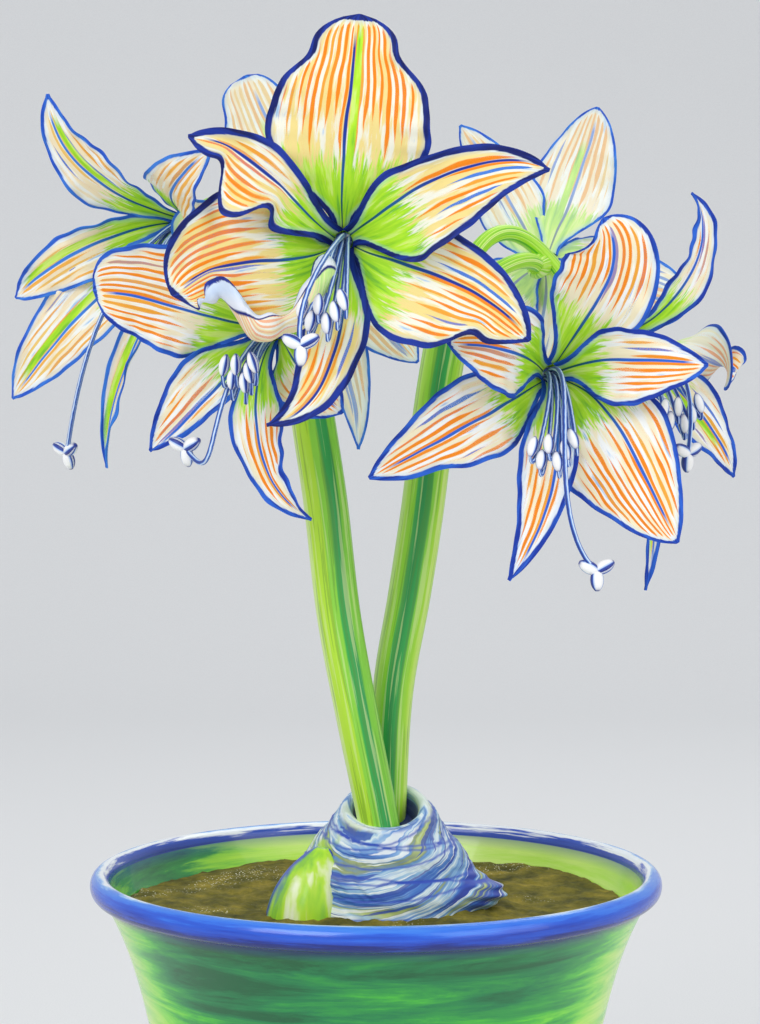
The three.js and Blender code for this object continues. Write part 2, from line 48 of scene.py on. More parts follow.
MM = 0.001
POT_WALL = 6
POT_FLOOR = 8
FOOT_RADIUS = 82
WALL_TAPER = 0.222  # radius gained for each millimetre of height
FLARE_START = 120
FLARE_END = 188
FLARE_REACH = 7.7
RIM_MIDDLE = (133.2, 194)  # radius and height of the middle of the roll
RIM_HALF = (4.8, 6)
POT_SIDES = 192


def pot_radius(z):
    """The outside wall: a straight taper, and above FLARE_START a flare that grows with the cube
    of the height."""
    flare = np.maximum(0, (z - FLARE_START) / (FLARE_END - FLARE_START))
    return FOOT_RADIUS + WALL_TAPER * z + FLARE_REACH * flare**3


def rings(radius, height, sides):
    """A profile carried round the upright axis: one ring of points for each row of the profile."""
    angle = 2 * np.pi * np.arange(sides) / sides
    x, y = radius[:, None] * np.cos(angle), radius[:, None] * np.sin(angle)
    return np.stack([x, y, height[:, None] + 0 * angle], -1)


def skin(grid):
    """Points and faces of rings joined row by row, with a point at the middle of both end rings."""
    rows, sides = grid.shape[:2]
    index = np.arange(rows * sides).reshape(rows, sides)
    beside = np.roll(index, -1, 1)
    faces = np.stack([index[:-1], beside[:-1], beside[1:], index[1:]], -1).reshape(-1, 4)
    first = np.stack([beside[0], index[0], index[0] * 0 + rows * sides], -1)
    last = np.stack([index[-1], beside[-1], index[-1] * 0 + rows * sides + 1], -1)
    points = np.vstack([grid.reshape(-1, 3), grid[0].mean(0), grid[-1].mean(0)])
    return points, faces.tolist() + first.tolist() + last.tolist()


def shape(name, points, faces, material, marks):
    """An object from points in millimetres, with a value or a vector at each point for each mark."""
    mesh = bpy.data.meshes.new(name)
    mesh.from_pydata((np.asarray(points) * MM).tolist(), [], faces)
    for mark, values in marks.items():
        values = np.asarray(values, float)
        flat = values.ndim == 1
        attribute = mesh.attributes.new(mark, "FLOAT" if flat else "FLOAT_VECTOR", "POINT")
        attribute.data.foreach_set("value" if flat else "vector", values.ravel())
    mesh.polygons.foreach_set("use_smooth", [True] * len(mesh.polygons))
    mesh.set_sharp_from_angle(angle=math.radians(50))
    mesh.materials.append(material)
    thing = bpy.data.objects.new(name, mesh)
    bpy.context.scene.collection.objects.link(thing)
    return thing


def stands_for(thing, node):
    """The piece rides on the plant's one body and hides its plain solid."""
    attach(thing, "root")
    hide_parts(node)


def linear(code):
    """A colour written as sRGB hex, as linear light with full cover."""
    share = np.array([int(code[i : i + 2], 16) for i in (1, 3, 5)]) / 255
    light = np.where(share <= 0.04045, share / 12.92, ((share + 0.055) / 1.055) ** 2.4)
    return (*light, 1)


def add(tree, kind, links=(), out=0, stops=(), **settings):
    """One node, with its settings and what goes into its sockets: a value, a colour code or another
    node's output. A colour ramp takes its row of stops. It gives the node's output of that name."""
    made = tree.nodes.new("ShaderNode" + kind)
    for key, value in settings.items():
        setattr(made, key, value)
    for key, value in dict(links).items():
        if isinstance(value, bpy.types.NodeSocket):
            tree.links.new(value, made.inputs[key])
        else:
            made.inputs[key].default_value = linear(value) if isinstance(value, str) else value
    for place, _ in stops[1:-1]:
        made.color_ramp.elements.new(place)
    for element, (place, code) in zip(made.color_ramp.elements if stops else (), stops):
        element.position = place
        element.color = linear(code)
    return made.outputs[out]


def calc(tree, operation, *values):
    """A sum on numbers or outputs."""
    return add(tree, "Math", dict(enumerate(values)), operation=operation)


def over(tree, amount, under, upper):
    """One colour laid over another by an amount from 0 to 1."""
    return add(tree, "Mix", {0: amount, 6: under, 7: upper}, out=2, data_type="RGBA")


def span(tree, value, low, high, top=1, bottom=0, **settings):
    """Rises from `bottom` at the value `low` to `top` at `high`, and stays there outside them."""
    return add(tree, "MapRange", {
        "Value": value, "From Min": low, "From Max": high, "To Min": bottom, "To Max": top,
    }, **settings)


def mark_of(tree, name, out="Fac"):
    """A mark of the piece: a number, or with `out` set to Vector three of them."""
    return add(tree, "Attribute", attribute_name=name, out=out)


def ramp(tree, value, stops):
    """The colour of a value, from a row of places and colours."""
    return add(tree, "ValToRGB", {0: value}, stops=stops)


def scaled(tree, place, scale):
    """A place stretched along each axis, so that a noise on it is drawn out."""
    return add(tree, "Mapping", {"Vector": place, "Scale": scale})


def noise(tree, place, scale, detail, seed=None, **more):
    """Soft noise. With a seed, it is another one for each value of the seed."""
    links = {"Vector": place, "Scale": scale, "Detail": detail, **more}
    if seed is None:
        return add(tree, "TexNoise", links)
    return add(tree, "TexNoise", {**links, "W": seed}, noise_dimensions="4D")


def finish(name, **sockets):
    """A new material, and its node tree, with the values that are the same all over."""
    material = bpy.data.materials.new(name)
    material.use_nodes = True
    shader = material.node_tree.nodes["Principled BSDF"]
    for key, value in sockets.items():
        shader.inputs[key.replace("_", " ")].default_value = value
    return material, material.node_tree


def coated(material, colour, height, strength, distance):
    """The material, once it has its colour and a relief of so many metres."""
    tree = material.node_tree
    shader = tree.nodes["Principled BSDF"]
    bump = add(tree, "Bump", {"Height": height, "Strength": strength, "Distance": distance})
    tree.links.new(colour, shader.inputs["Base Color"])
    tree.links.new(bump, shader.inputs["Normal"])
    return material


def glazed_stoneware():
    """Brushed glazes: `wall` runs from 0 at the foot to 1 under the rim, to 2 over the roll and to 3 at
    the pot's floor. Strokes are about 90 mm long and 9 mm high, and on the roll 45 mm long and 2.4 mm
    high. Outside, the green is darker under the rim, which is painted shade, and paler at both sides,
    which is painted light; inside, it is darker at the left, which is painted shade. On the roll, the
    navy underneath is painted shade, and the white line along its inner top is partly thin glaze on the
    edge and partly a painted highlight."""
    material, tree = finish("glazed_stoneware", Roughness=0.22, IOR=1.5, Coat_Weight=0.3)
    place = add(tree, "TexCoord", out="Object")
    wall = mark_of(tree, "wall")
    along = scaled(tree, place, (11, 11, 110))
    strokes = noise(tree, along, 1, 6, Roughness=0.68, Distortion=0.5)
    broad = noise(tree, place, 7, 2, Distortion=0.5)
    shade = calc(tree, "MULTIPLY", broad, 0.6)
    x = add(tree, "SeparateXYZ", {0: place}, out="X")
    # painted shade: the outside green is darker just under the rim
    painted_shade_under_rim = span(tree, wall, 0.45, 1.0, 0.42, interpolation_type="SMOOTHSTEP")
    tone_with_painted_light = calc(tree, "MULTIPLY_ADD", strokes, 0.95, shade)
    tone_with_painted_light = calc(tree, "SUBTRACT", tone_with_painted_light, painted_shade_under_rim)
    # painted light: the outside green is paler towards both sides of the pot
    painted_light_at_sides = calc(tree, "ABSOLUTE", x)
    painted_light_at_sides = span(tree, painted_light_at_sides, 0.082, 0.118, 0.3)
    tone_with_painted_light = calc(tree, "ADD", tone_with_painted_light, painted_light_at_sides)
    outside = ramp(tree, tone_with_painted_light, [
        (0.24, "#0C6238"), (0.36, "#15824A"), (0.47, "#2E9F45"), (0.56, "#4CC23C"), (0.66, "#7FE03A"),
        (0.84, "#C4F45A"),
    ])
    # painted shade: the inside wall is darker at the left
    painted_shade_at_left = span(tree, x, -0.035, -0.12, 0.42)
    inner = calc(tree, "ADD", strokes, shade)
    inner = calc(tree, "SUBTRACT", inner, painted_shade_at_left)
    inside = ramp(tree, inner, [
        (0.26, "#15703F"), (0.42, "#2E9A44"), (0.54, "#8FDB3C"), (0.68, "#B8F03C"), (0.95, "#D9F97C"),
    ])
    close = scaled(tree, place, (22, 22, 420))
    fine = noise(tree, close, 1, 4, Roughness=0.6)
    wobble = calc(tree, "MULTIPLY_ADD", fine, 0.5, wall)
    round_roll = calc(tree, "SUBTRACT", wobble, 1.25)
    # on the roll: the navy underneath is painted shade, and the white line along the inner top is
    # partly thin glaze on the edge and partly a painted highlight
    roll = ramp(tree, round_roll, [
        (0.0, "#0B1B6B"), (0.24, "#0E2480"), (0.3, "#1741B8"), (0.44, "#1F5AD6"), (0.5, "#2E74E6"),
        (0.62, "#3F86EA"), (0.67, "#8FC0F4"), (0.72, "#EEF5FD"), (0.8, "#F6FAFE"), (0.86, "#2450C0"),
        (1.0, "#1B3FA8"),
    ])
    on_roll = span(tree, wall, 0.995, 1.01)
    past_roll = span(tree, wall, 1.99, 2.01)
    colour = over(tree, on_roll, outside, roll)
    colour = over(tree, past_roll, colour, inside)
    return coated(material, colour, strokes, 0.12, 0.002)


turn = np.radians(np.linspace(-100, 180, 29))
outer_z = np.concatenate([[0, 0.4, 1.2, 2.4], np.linspace(5, 183, 60)])
outer_r = pot_radius(outer_z) - np.concatenate([[1.6, 0.7, 0.2], np.zeros(61)])
inner_z = np.linspace(184, 16, 34)
pot_r = np.concatenate([
    [FOOT_RADIUS - 8], outer_r, RIM_MIDDLE[0] + RIM_HALF[0] * np.cos(turn),
    pot_radius(inner_z) - POT_WALL, [pot_radius(POT_FLOOR) - POT_WALL - 6],
])
pot_z = np.concatenate([[0], outer_z, RIM_MIDDLE[1] + RIM_HALF[1] * np.sin(turn), inner_z, [POT_FLOOR]])
pot_wall = np.concatenate([
    [0], outer_z / 183.5, np.linspace(1.01, 2, len(turn)), np.linspace(2.02, 2.95, len(inner_z)), [3],
])
points, faces = skin(rings(pot_r, pot_z, POT_SIDES))
marks = {"wall": np.append(np.repeat(pot_wall, POT_SIDES), [0, 3])}
stands_for(shape("glazed_pot", points, faces, glazed_stoneware(), marks), "pot")


# Soil
# Dark olive potting mix of peat and bark, filled by hand to 18 mm under the rim and lumpy from
# watering. It is moulded round the bulb, which sits half out of it.

SOIL_TOP = 182
SOIL_EDGE = 121.4  # radius of its top at the wall
SOIL_MOULD = 44.3  # radius of its top round the bulb
SOIL_ROWS = 70
SOIL_SIDES = 220
BULB_X = 4.5


def lumps(x, y, size, seed):
    """Smooth random relief from -1 to 1: heights drawn at the corners of squares of that size and
    eased from corner to corner."""
    heights = np.random.default_rng(seed).uniform(-1, 1, (256, 256))
    x, y = x / size + 100, y / size + 100
    i, j = np.floor(x).astype(int), np.floor(y).astype(int)
    u, v = ease(x - i), ease(y - j)
    near = heights[i % 256, j % 256] * (1 - u) + heights[(i + 1) % 256, j % 256] * u
    far = heights[i % 256, (j + 1) % 256] * (1 - u) + heights[(i + 1) % 256, (j + 1) % 256] * u
    return near * (1 - v) + far * v


def ease(value):
    """0 below 0, 1 above 1, and an even S between."""
    share = np.clip(value, 0, 1)
    return share * share * (3 - 2 * share)


def potting_mix():
    """Moist peat with paler fibres and specks of about 1 mm."""
    material, tree = finish("potting_mix", Roughness=0.95)
    place = add(tree, "TexCoord", out="Object")
    clods = noise(tree, place, 55, 6, Roughness=0.7)
    ground = ramp(tree, clods, [
        (0.3, "#3A3C0C"), (0.45, "#605B14"), (0.57, "#7F7420"), (0.68, "#9C8A2E"), (0.8, "#BDB268"),
    ])
    grains = add(tree, "TexVoronoi", {"Vector": place, "Scale": 620})
    speck = span(tree, grains, 0.26, 0.2)
    spread = noise(tree, place, 26, 3)
    where = span(tree, spread, 0.52, 0.62)
    speck = calc(tree, "MULTIPLY", speck, where)
    colour = over(tree, speck, ground, "#E2DEC2")
    return coated(material, colour, clods, 0.6, 0.003)


inward = np.linspace(0, 1, SOIL_ROWS)
soil_r = np.concatenate([
    pot_radius(np.array([POT_FLOOR, 17])) - POT_WALL - [7, 0.8],
    pot_radius(np.array([60, 110, 150, 178])) - POT_WALL - 0.4,
    SOIL_EDGE - (SOIL_EDGE - SOIL_MOULD) * inward, [45.3, 42.3, 31.3, 16.3],
])
soil_z = np.concatenate([
    [POT_FLOOR + 0.3, 17, 60, 110, 150, 178], np.full(SOIL_ROWS, SOIL_TOP), [168, 142, 118, 105.7],
])
soil_grid = rings(soil_r, soil_z, SOIL_SIDES)
side_rows = len(soil_r) - 4 - SOIL_ROWS
top = slice(side_rows, side_rows + SOIL_ROWS)
soil_grid[top, :, 0] += BULB_X * inward[:, None] ** 1.5
soil_grid[side_rows + SOIL_ROWS :, :, 0] += BULB_X
x, y = soil_grid[top, :, 0], soil_grid[top, :, 1]
soil_grid[top, :, 2] += (
    1.6 * np.sin(x / 21 + 0.6) * np.cos(y / 27) + 2.2 * inward[:, None] ** 6
    + 0.9 * lumps(x, y, 7, 3) + 0.6 * lumps(x, y, 3, 4) + 0.35 * np.abs(lumps(x, y, 1.6, 5))
)
points, faces = skin(soil_grid)
stands_for(shape("potting_soil", points, faces, potting_mix(), {}), "soil")


# Bulb
# A grown bulb, as wide as a fist, wrapped in dry papery skins. Each skin ends in a torn edge below
# the neck, one stands off as a flap at the right, and the neck's mouth is open round the stalks.

BULB_PROFILE = np.array([
    # height, radius, share of the neck's tilt
    [106, 16, 0], [118, 31, 0], [142, 42, 0], [168, 45, 0], [182, 44, 0], [191, 43, 0.05],
    [199, 40.5, 0.1], [205, 39.5, 0.2], [211, 37, 0.35], [217, 35, 0.55], [222, 31, 0.75],
    [226, 29, 0.9], [230, 24, 1],
])
SKIN_EDGES = np.array([186, 193, 199, 205, 211, 217, 222, 226.5])
BULB_SIDES = 260
MOUTH_RADIUS = 24
NECK_TOP = 230
NECK_TILT = 7.6  # how far the back of the mouth is above its middle


def papery_tunic():
    """Dry skins in slanting strokes of blue, white and olive. A stroke is about 110 mm long and 4 mm
    high, with thinner ones of 60 by 1.6 mm over it, and it rises to the back and the right with the
    mouth of the neck. The right side is bluer, which is painted shade, and the skin is bare and lime in
    patches at the left. `torn`, `mouth` and `lip` are 1 on a skin's edge, in the neck and on the neck's
    lip; the dark navy in the neck is painted shade."""
    material, tree = finish("papery_tunic", Roughness=0.55, Sheen_Weight=0.2)
    place = add(tree, "TexCoord", out="Object")
    lean = add(tree, "Mapping", {"Vector": place, "Rotation": (-0.45, 0.16, 0)})
    wide = scaled(tree, lean, (9, 9, 230))
    swirl = noise(tree, wide, 1, 3, Roughness=0.5, Distortion=0.2)
    x = add(tree, "SeparateXYZ", {0: place}, out="X")
    # painted shade: the right side of the bulb is bluer
    painted_shade_at_right = span(tree, x, 0.015, 0.055, 0.1)
    swirl_with_painted_shade = calc(tree, "SUBTRACT", swirl, painted_shade_at_right)
    colour = ramp(tree, swirl_with_painted_shade, [
        (0.28, "#16359C"), (0.36, "#3B74C8"), (0.41, "#86AEDC"), (0.45, "#DCE9EC"), (0.49, "#8DB8DC"),
        (0.53, "#5F90CC"), (0.57, "#8A9A72"), (0.61, "#BCCB7A"), (0.65, "#9FC4DE"), (0.7, "#EEF4F0"),
    ])
    thin = scaled(tree, lean, (16, 16, 620))
    hairs = noise(tree, thin, 1, 2, Distortion=0.3)
    for low, high, code in ((0.57, 0.6, "#1B3FA6"), (0.4, 0.37, "#F2F6F4")):
        amount = span(tree, hairs, low, high, 0.8)
        colour = over(tree, amount, colour, code)
    broad = noise(tree, place, 30, 2)
    bare = span(tree, x, 0.0, -0.028, 0.13, bottom=-0.2)
    bare = calc(tree, "ADD", broad, bare)
    bare = span(tree, bare, 0.6, 0.66, 0.85)
    colour = over(tree, bare, colour, "#B4DC3A")
    lip = ramp(tree, hairs, [
        (0.4, "#3F78CC"), (0.46, "#A9C9EA"), (0.52, "#F4F8F6"), (0.62, "#DCEAD0"),
    ])
    # the navy that `mouth` lays inside the neck is painted shade
    for mark, code in (("torn", "#1C46B4"), ("mouth", "#14257C"), ("lip", lip)):
        amount = mark_of(tree, mark)
        colour = over(tree, amount, colour, code)
    return coated(material, colour, swirl, 0.35, 0.0015)


bulb_z = np.concatenate([np.linspace(106, 180, 30), np.linspace(180.5, NECK_TOP, 130)])
angle = 2 * np.pi * np.arange(BULB_SIDES)[None, :] / BULB_SIDES
z = bulb_z[:, None]
even = np.linspace(96, 236, 561)
kernel = np.exp(-((np.linspace(-6, 6, 49) / 2.2) ** 2))
padded = np.pad(np.interp(even, BULB_PROFILE[:, 0], BULB_PROFILE[:, 1]), 24, "edge")
smooth_radius = np.convolve(padded, kernel / kernel.sum(), "valid")
radius = np.interp(bulb_z, even, smooth_radius)[:, None] - 1.6
tilt = np.interp(bulb_z, BULB_PROFILE[:, 0], BULB_PROFILE[:, 2])[:, None]
radius = radius + 1.1 * np.sin(angle * 2 + z * 0.28) * ease((z - 180) / 12)
torn = 0 * radius
for count, edge in enumerate(SKIN_EDGES):
    height = (
        edge + 3.2 * np.sin(angle + 1.9 * count) + 1.3 * np.sin(3 * angle + 2.3 * count)
        + 0.5 * lumps(60 * np.cos(angle), 60 * np.sin(angle), 6, 20 + count)
    )
    radius = radius + 0.55 * ease((height - z) / 1.1) * ease((z - 150) / 20)
    torn = torn + 0.8 * np.exp(-(((height - z - 0.2) / 0.6) ** 2))
from_flap = np.arctan2(np.sin(angle + 0.25), np.cos(angle + 0.25))
flap = np.exp(-(((z - 192) / 9) ** 2)) * np.exp(-((from_flap / 0.3) ** 2))
radius = radius + 14.5 * flap + 1.4 * flap * np.sin(z * 1.3 + 9 * from_flap)
radius = radius + 0.35 * lumps(z + 40 * np.cos(angle), 40 * np.sin(angle) + 0.2 * z, 2.2, 9)
down = np.linspace(0, 1, 14)[1:, None]
mouth_r = np.repeat(MOUTH_RADIUS - 5.2 * ease(down * 3) - 2 * down, BULB_SIDES, 1)
mouth_z = NECK_TOP + 1.2 * np.sin(np.pi * np.minimum(1, down * 3)) - 14 * np.maximum(0, down - 0.2)
radius = np.vstack([radius, mouth_r])
z = np.vstack([z, mouth_z])
tilt = np.vstack([tilt, 1 + 0 * mouth_z])
bulb_x = BULB_X + radius * np.cos(angle) * (1 - 0.12 * tilt)
bulb_grid = np.stack([bulb_x, radius * np.sin(angle), z + tilt * NECK_TILT * np.sin(angle)], -1)
mouth = np.concatenate([0 * bulb_z, 0.95 * ease((down[:, 0] - 0.3) / 0.25)])
lip = np.concatenate([ease((bulb_z - 227.5) / 2), 1 - ease((down[:, 0] - 0.2) / 0.2)])
marks = {
    "torn": np.append(np.vstack([torn, 0 * mouth_r]), [0, 0]),
    "mouth": np.append(np.repeat(mouth, BULB_SIDES), [0, 1]),
    "lip": np.append(np.repeat(0.8 * lip, BULB_SIDES), [0, 0]),
}
points, faces = skin(bulb_grid)
stands_for(shape("papery_bulb", points, faces, papery_tunic(), marks), "bulb")


# Young bulb
# An offset the size of a small egg, grown from the base of the bulb and leaning on its left side.
# Its skin is still fresh and green, with shallow ribs from foot to tip.

YOUNG_FOOT = np.array([-38, -20, 152])
YOUNG_TIP = np.array([-25, -22, 214])
YOUNG_RADIUS = 20.3
YOUNG_ROWS, YOUNG_SIDES = 48, 72


def stem(route, radii, sides, ribs=0, relief=0.0):
    """Round sections along a row of points, each turned as little as it can be from the one before.
    With ribs, each section swells and shrinks by `relief` that many times round."""
    along = np.gradient(route, axis=0)
    along /= np.linalg.norm(along, axis=1, keepdims=True)
    normal = np.array([1, 0.31, 0.17])
    sideways = []
    for direction in along:
        normal = normal - direction * (normal @ direction)
        normal = normal / np.linalg.norm(normal)
        sideways.append(normal)
    sideways = np.array(sideways)
    across = np.cross(along, sideways)
    angle = 2 * np.pi * np.arange(sides)[None, :, None] / sides
    reach = radii[:, None, None] * (1 + relief * np.cos(ribs * angle))
    offset = sideways[:, None] * np.cos(angle) + across[:, None] * np.sin(angle)
    return route[:, None] + reach * offset


def turns(grids):
    """For the points of round skins: the share of a turn round each, and 0 at the end points."""
    return np.concatenate([
        np.append(np.tile(np.arange(grid.shape[1]) / grid.shape[1], grid.shape[0]), [0, 0])
        for grid in grids
    ])


def fresh_skin():
    """Green living skin: lime with pale streaks about 80 mm long and 9 mm wide, and a blue edge
    where `way_round`, the share of a turn round it, passes its left and its right side."""
    material, tree = finish("fresh_bulb_skin", Roughness=0.4, Coat_Weight=0.1)
    place = add(tree, "TexCoord", out="Object")
    long_way = scaled(tree, place, (110, 110, 12))
    streaks = noise(tree, long_way, 1, 3, Distortion=0.2)
    colour = ramp(tree, streaks, [
        (0.36, "#8CCB3A"), (0.46, "#A9E02F"), (0.54, "#BCE63C"), (0.6, "#DDEFA6"), (0.7, "#F2F6E0"),
    ])
    way_round = mark_of(tree, "way_round")
    fold = calc(tree, "MULTIPLY_ADD", streaks, 0.12, way_round)
    side = ramp(tree, fold, [
        (0.05, "#FFFFFF"), (0.09, "#000000"), (0.46, "#000000"), (0.49, "#FFFFFF"), (0.54, "#FFFFFF"),
        (0.575, "#000000"), (0.9, "#000000"), (0.93, "#FFFFFF"),
    ])
    colour = over(tree, side, colour, "#1C49B8")
    return coated(material, colour, streaks, 0.25, 0.001)


up = np.linspace(0, 1, YOUNG_ROWS)
young_route = YOUNG_FOOT + (YOUNG_TIP - YOUNG_FOOT) * up[:, None]
young_radii = YOUNG_RADIUS * np.sin(np.pi * (0.12 + 0.86 * up)) ** 0.7
young_grid = stem(young_route, young_radii, YOUNG_SIDES, 12, 0.02)
points, faces = skin(young_grid)
marks = {"way_round": turns([young_grid])}
stands_for(shape("young_bulb_skin", points, faces, fresh_skin(), marks), "young_bulb")


# Stalks
# Two leafless hollow stalks rise from the neck of the bulb. Each parts at its top into short flower
# stems, and each of those ends in a three-sided ovary that carries one bloom.

THROAT = 7.6  # radius of a bloom's tube where the petals leave it
TUBE = 21
OVARY = 16
BLOOM_SEATS = {
    # bloom: stalk, arch of its stem, throat, turn to the right and lift in degrees
    "left_front": ("left", 14, (-14.6, -88, 499.5), 0, 0),
    "left_low": ("left", 8, (-51.9, -62, 456), -25, -18),
    "left_far": ("left", 14, (-97.9, 5, 508), -40, -20),
    "left_back": ("left", 14, (-29.6, 80, 495), 180, 5),
    "right_front": ("right", 14, (83.1, -42, 440.3), 8, 8),
    "right_side": ("right", 77, (127.5, 28, 456), 35, -5),
    "right_back": ("right", 16, (89, 92, 495.5), 165, 5),
}
STALK_ROUTES = {
    "left": [[7, -10, 192], [0.5, -11, 228], [-8.5, -11, 273], [-17.5, -10, 322], [-24.5, -9, 381],
             [-30.5, -8, 421], [-34.8, -8, 452.9]],
    "right": [[4.5, 12, 192], [5.5, 12, 228], [8.9, 14, 290], [16, 17, 330], [21.5, 20, 365],
              [30, 23, 430], [36.1, 25, 466.1]],
}
STALK_RADII = {"left": (9.8, 10.2), "right": (9.2, 10.6)}  # at the foot and at the top
STALK_MIDDLE = 10.6
STALK_ROWS = 90
FLOWER_STEM = 4  # radius of the stem of one bloom
FLOWER_STEM_ROWS = 40


def through(route, count):
    """A smooth curve through a row of points: between two of them a cubic whose directions at both
    ends are those of the neighbours' span, stepped by the distance between the points."""
    route = np.asarray(route, float)
    spans = np.linalg.norm(np.diff(route, axis=0), axis=1)
    knots = np.concatenate([[0], np.cumsum(spans)])
    slopes = np.gradient(route, knots, axis=0)
    place = np.linspace(0, knots[-1], count)
    index = np.clip(np.searchsorted(knots, place, side="right") - 1, 0, len(spans) - 1)
    width = spans[index][:, None]
    t = (place - knots[index])[:, None] / width
    return (
        (1 + 2 * t) * (1 - t) ** 2 * route[index] + t * (1 - t) ** 2 * width * slopes[index]
        + t * t * (3 - 2 * t) * route[index + 1] + t * t * (t - 1) * width * slopes[index + 1]
    )


def bezier(corners, count):
    """Points along a cubic curve from its four corners."""
    a, b, c, d = (np.asarray(corner, float) for corner in corners)
    t = np.linspace(0, 1, count)[:, None]
    return (1 - t) ** 3 * a + 3 * (1 - t) ** 2 * t * b + 3 * (1 - t) * t * t * c + t**3 * d


def bloom_axes(turn, lift):
    """Right, up and forward of a bloom as rows: it faces the front, turned and then lifted."""
    t, l = math.radians(turn), math.radians(lift)
    forward = np.array([math.sin(t) * math.cos(l), -math.cos(t) * math.cos(l), math.sin(l)])
    right = np.array([math.cos(t), math.sin(t), 0])
    return np.stack([right, np.cross(forward, right), forward])


def lengthwise(grid):
    """Where the points of a stem lie: round it as on a circle of 10 mm radius, and along it in
    millimetres."""
    steps = np.linalg.norm(np.diff(grid.mean(1), axis=0), axis=1)
    along = np.concatenate([[0], np.cumsum(steps)])
    lay = rings(np.full(len(along), 10.0), along, grid.shape[1]).reshape(-1, 3)
    return np.vstack([lay, lay[:1], lay[-1:]])


def green_stem(name, shading_strips):
    """Waxy green stem in long lengthwise strips of lime, pale green and dark green, each 3 to 9 mm
    wide, under streaks about 2 mm wide and 80 mm long; the strips round it are painted light and shade,
    pale green for painted highlight and dark green for painted shade. `way_round` is the share of a
    turn round it and `lay` is its `lengthwise` place. Where `slim` is 1, on the flower stems, it is
    lime all round."""
    material, tree = finish(name, Roughness=0.42, Coat_Weight=0.12)
    lay = mark_of(tree, "lay", out="Vector")
    long_way = scaled(tree, lay, (0.55, 0.55, 0.012))
    streaks = noise(tree, long_way, 1, 4)
    way_round = mark_of(tree, "way_round")
    band = calc(tree, "MULTIPLY_ADD", streaks, 0.05, way_round)
    band = calc(tree, "SUBTRACT", band, 0.025)
    band = calc(tree, "FRACT", band)
    # painted light and shade: pale and dark green strips round the stem
    colour = ramp(tree, band, shading_strips)
    for low, high, code in ((0.56, 0.6, "#DDF0A0"), (0.43, 0.4, "#4E8A2C")):
        fibre = span(tree, streaks, low, high, 0.42)
        colour = over(tree, fibre, colour, code)
    slim = mark_of(tree, "slim")
    limes = ramp(tree, streaks, [
        (0.36, "#5FBE36"), (0.44, "#A4E42A"), (0.56, "#B8EE3C"), (0.64, "#E2F5A8"),
    ])
    colour = over(tree, slim, colour, limes)
    return coated(material, colour, streaks, 0.15, 0.001)


def gathered(parts):
    """Several skins as one set of points and faces."""
    points, faces, start = [], [], 0
    for part_points, part_faces in parts:
        points.append(part_points)
        faces += [[start + corner for corner in face] for face in part_faces]
        start += len(part_points)
    return np.vstack(points), faces


STEM_SKINS = {
    # the painted highlight and shade round each stalk, from the right side round the back and the left
    # side to the front
    "left": green_stem("waxy_stem_painted_shading", [
        (0.0, "#7CCB35"), (0.06, "#A9E02F"), (0.2, "#2FA84A"), (0.28, "#A9E02F"), (0.4, "#7CCB35"),
        (0.47, "#C9EC86"), (0.545, "#D2EE8C"), (0.555, "#BDE92F"), (0.66, "#B4E430"), (0.67, "#8DD63C"),
        (0.715, "#8DD63C"), (0.725, "#2FA84A"), (0.8, "#1F9A48"), (0.81, "#7CCB35"), (0.9, "#8ED63A"),
        (1.0, "#3F9F44"),
    ]),
    "right": green_stem("green_waxy_stem", [
        (0.0, "#A4DE34"), (0.1, "#7CCB35"), (0.22, "#2FA84A"), (0.36, "#A9E02F"), (0.46, "#7CCB35"),
        (0.53, "#C9EC86"), (0.56, "#B4E44A"), (0.635, "#8AD038"), (0.645, "#35A94A"), (0.69, "#1F8E44"),
        (0.74, "#2FA84A"), (0.755, "#7CCB35"), (0.83, "#A9E02F"), (0.86, "#C9EC6A"), (1.0, "#8AD038"),
    ]),
}
for side, route in STALK_ROUTES.items():
    foot, head = STALK_RADII[side]
    line = through(route, STALK_ROWS)
    share = np.linspace(0, 1, STALK_ROWS)
    radii = foot + (STALK_MIDDLE - foot) * ease(share / 0.6)
    radii = radii + (head - STALK_MIDDLE) * ease((share - 0.8) / 0.2)
    radii = radii * np.where(share > 0.985, 0.93, 1)
    grids = [stem(line, radii, 48, 8, 0.012)]
    for stalk, arch, throat, turned, lift in BLOOM_SEATS.values():
        if stalk != side:
            continue
        axes = bloom_axes(turned, lift)
        back = lambda distance: np.array(throat) - axes[2] * distance
        before = back(TUBE + OVARY + 14 + arch / 4) + [0, 0, arch * 0.6]
        lead = line[-1] * 0.7 + before * 0.3 + [0, 0, arch * 0.8]
        swell = back(TUBE + OVARY) + (back(TUBE) - back(TUBE + OVARY)) * 0.2
        pedicel = bezier([line[-3], lead, before, swell], FLOWER_STEM_ROWS)
        widening = FLOWER_STEM + 0.9 * (1 - ease(np.linspace(0, 1, FLOWER_STEM_ROWS) / 0.2))
        grids.append(stem(pedicel, widening, 24, 5, 0.02))
        ovary_share = np.linspace(0, 1, 16)
        ovary_line = back(TUBE + OVARY) + np.outer(ovary_share, back(TUBE + 0.2) - back(TUBE + OVARY))
        ovary_radii = FLOWER_STEM + 2.5 * np.sin(np.pi * ovary_share) ** 0.8
        grids.append(stem(ovary_line, ovary_radii, 30, 3, 0.06))
    points, faces = gathered([skin(grid) for grid in grids])
    sizes = [grid.shape[0] * grid.shape[1] + 2 for grid in grids]
    slim = np.repeat(np.arange(len(grids)) > 0, sizes).astype(float)
    lay = np.vstack([lengthwise(grid) for grid in grids])
    marks = {"way_round": turns(grids), "slim": slim, "lay": lay}
    thing = shape(f"flower_stalk_{side}", points, faces, STEM_SKINS[side], marks)
    stands_for(thing, f"stalk_{side}")


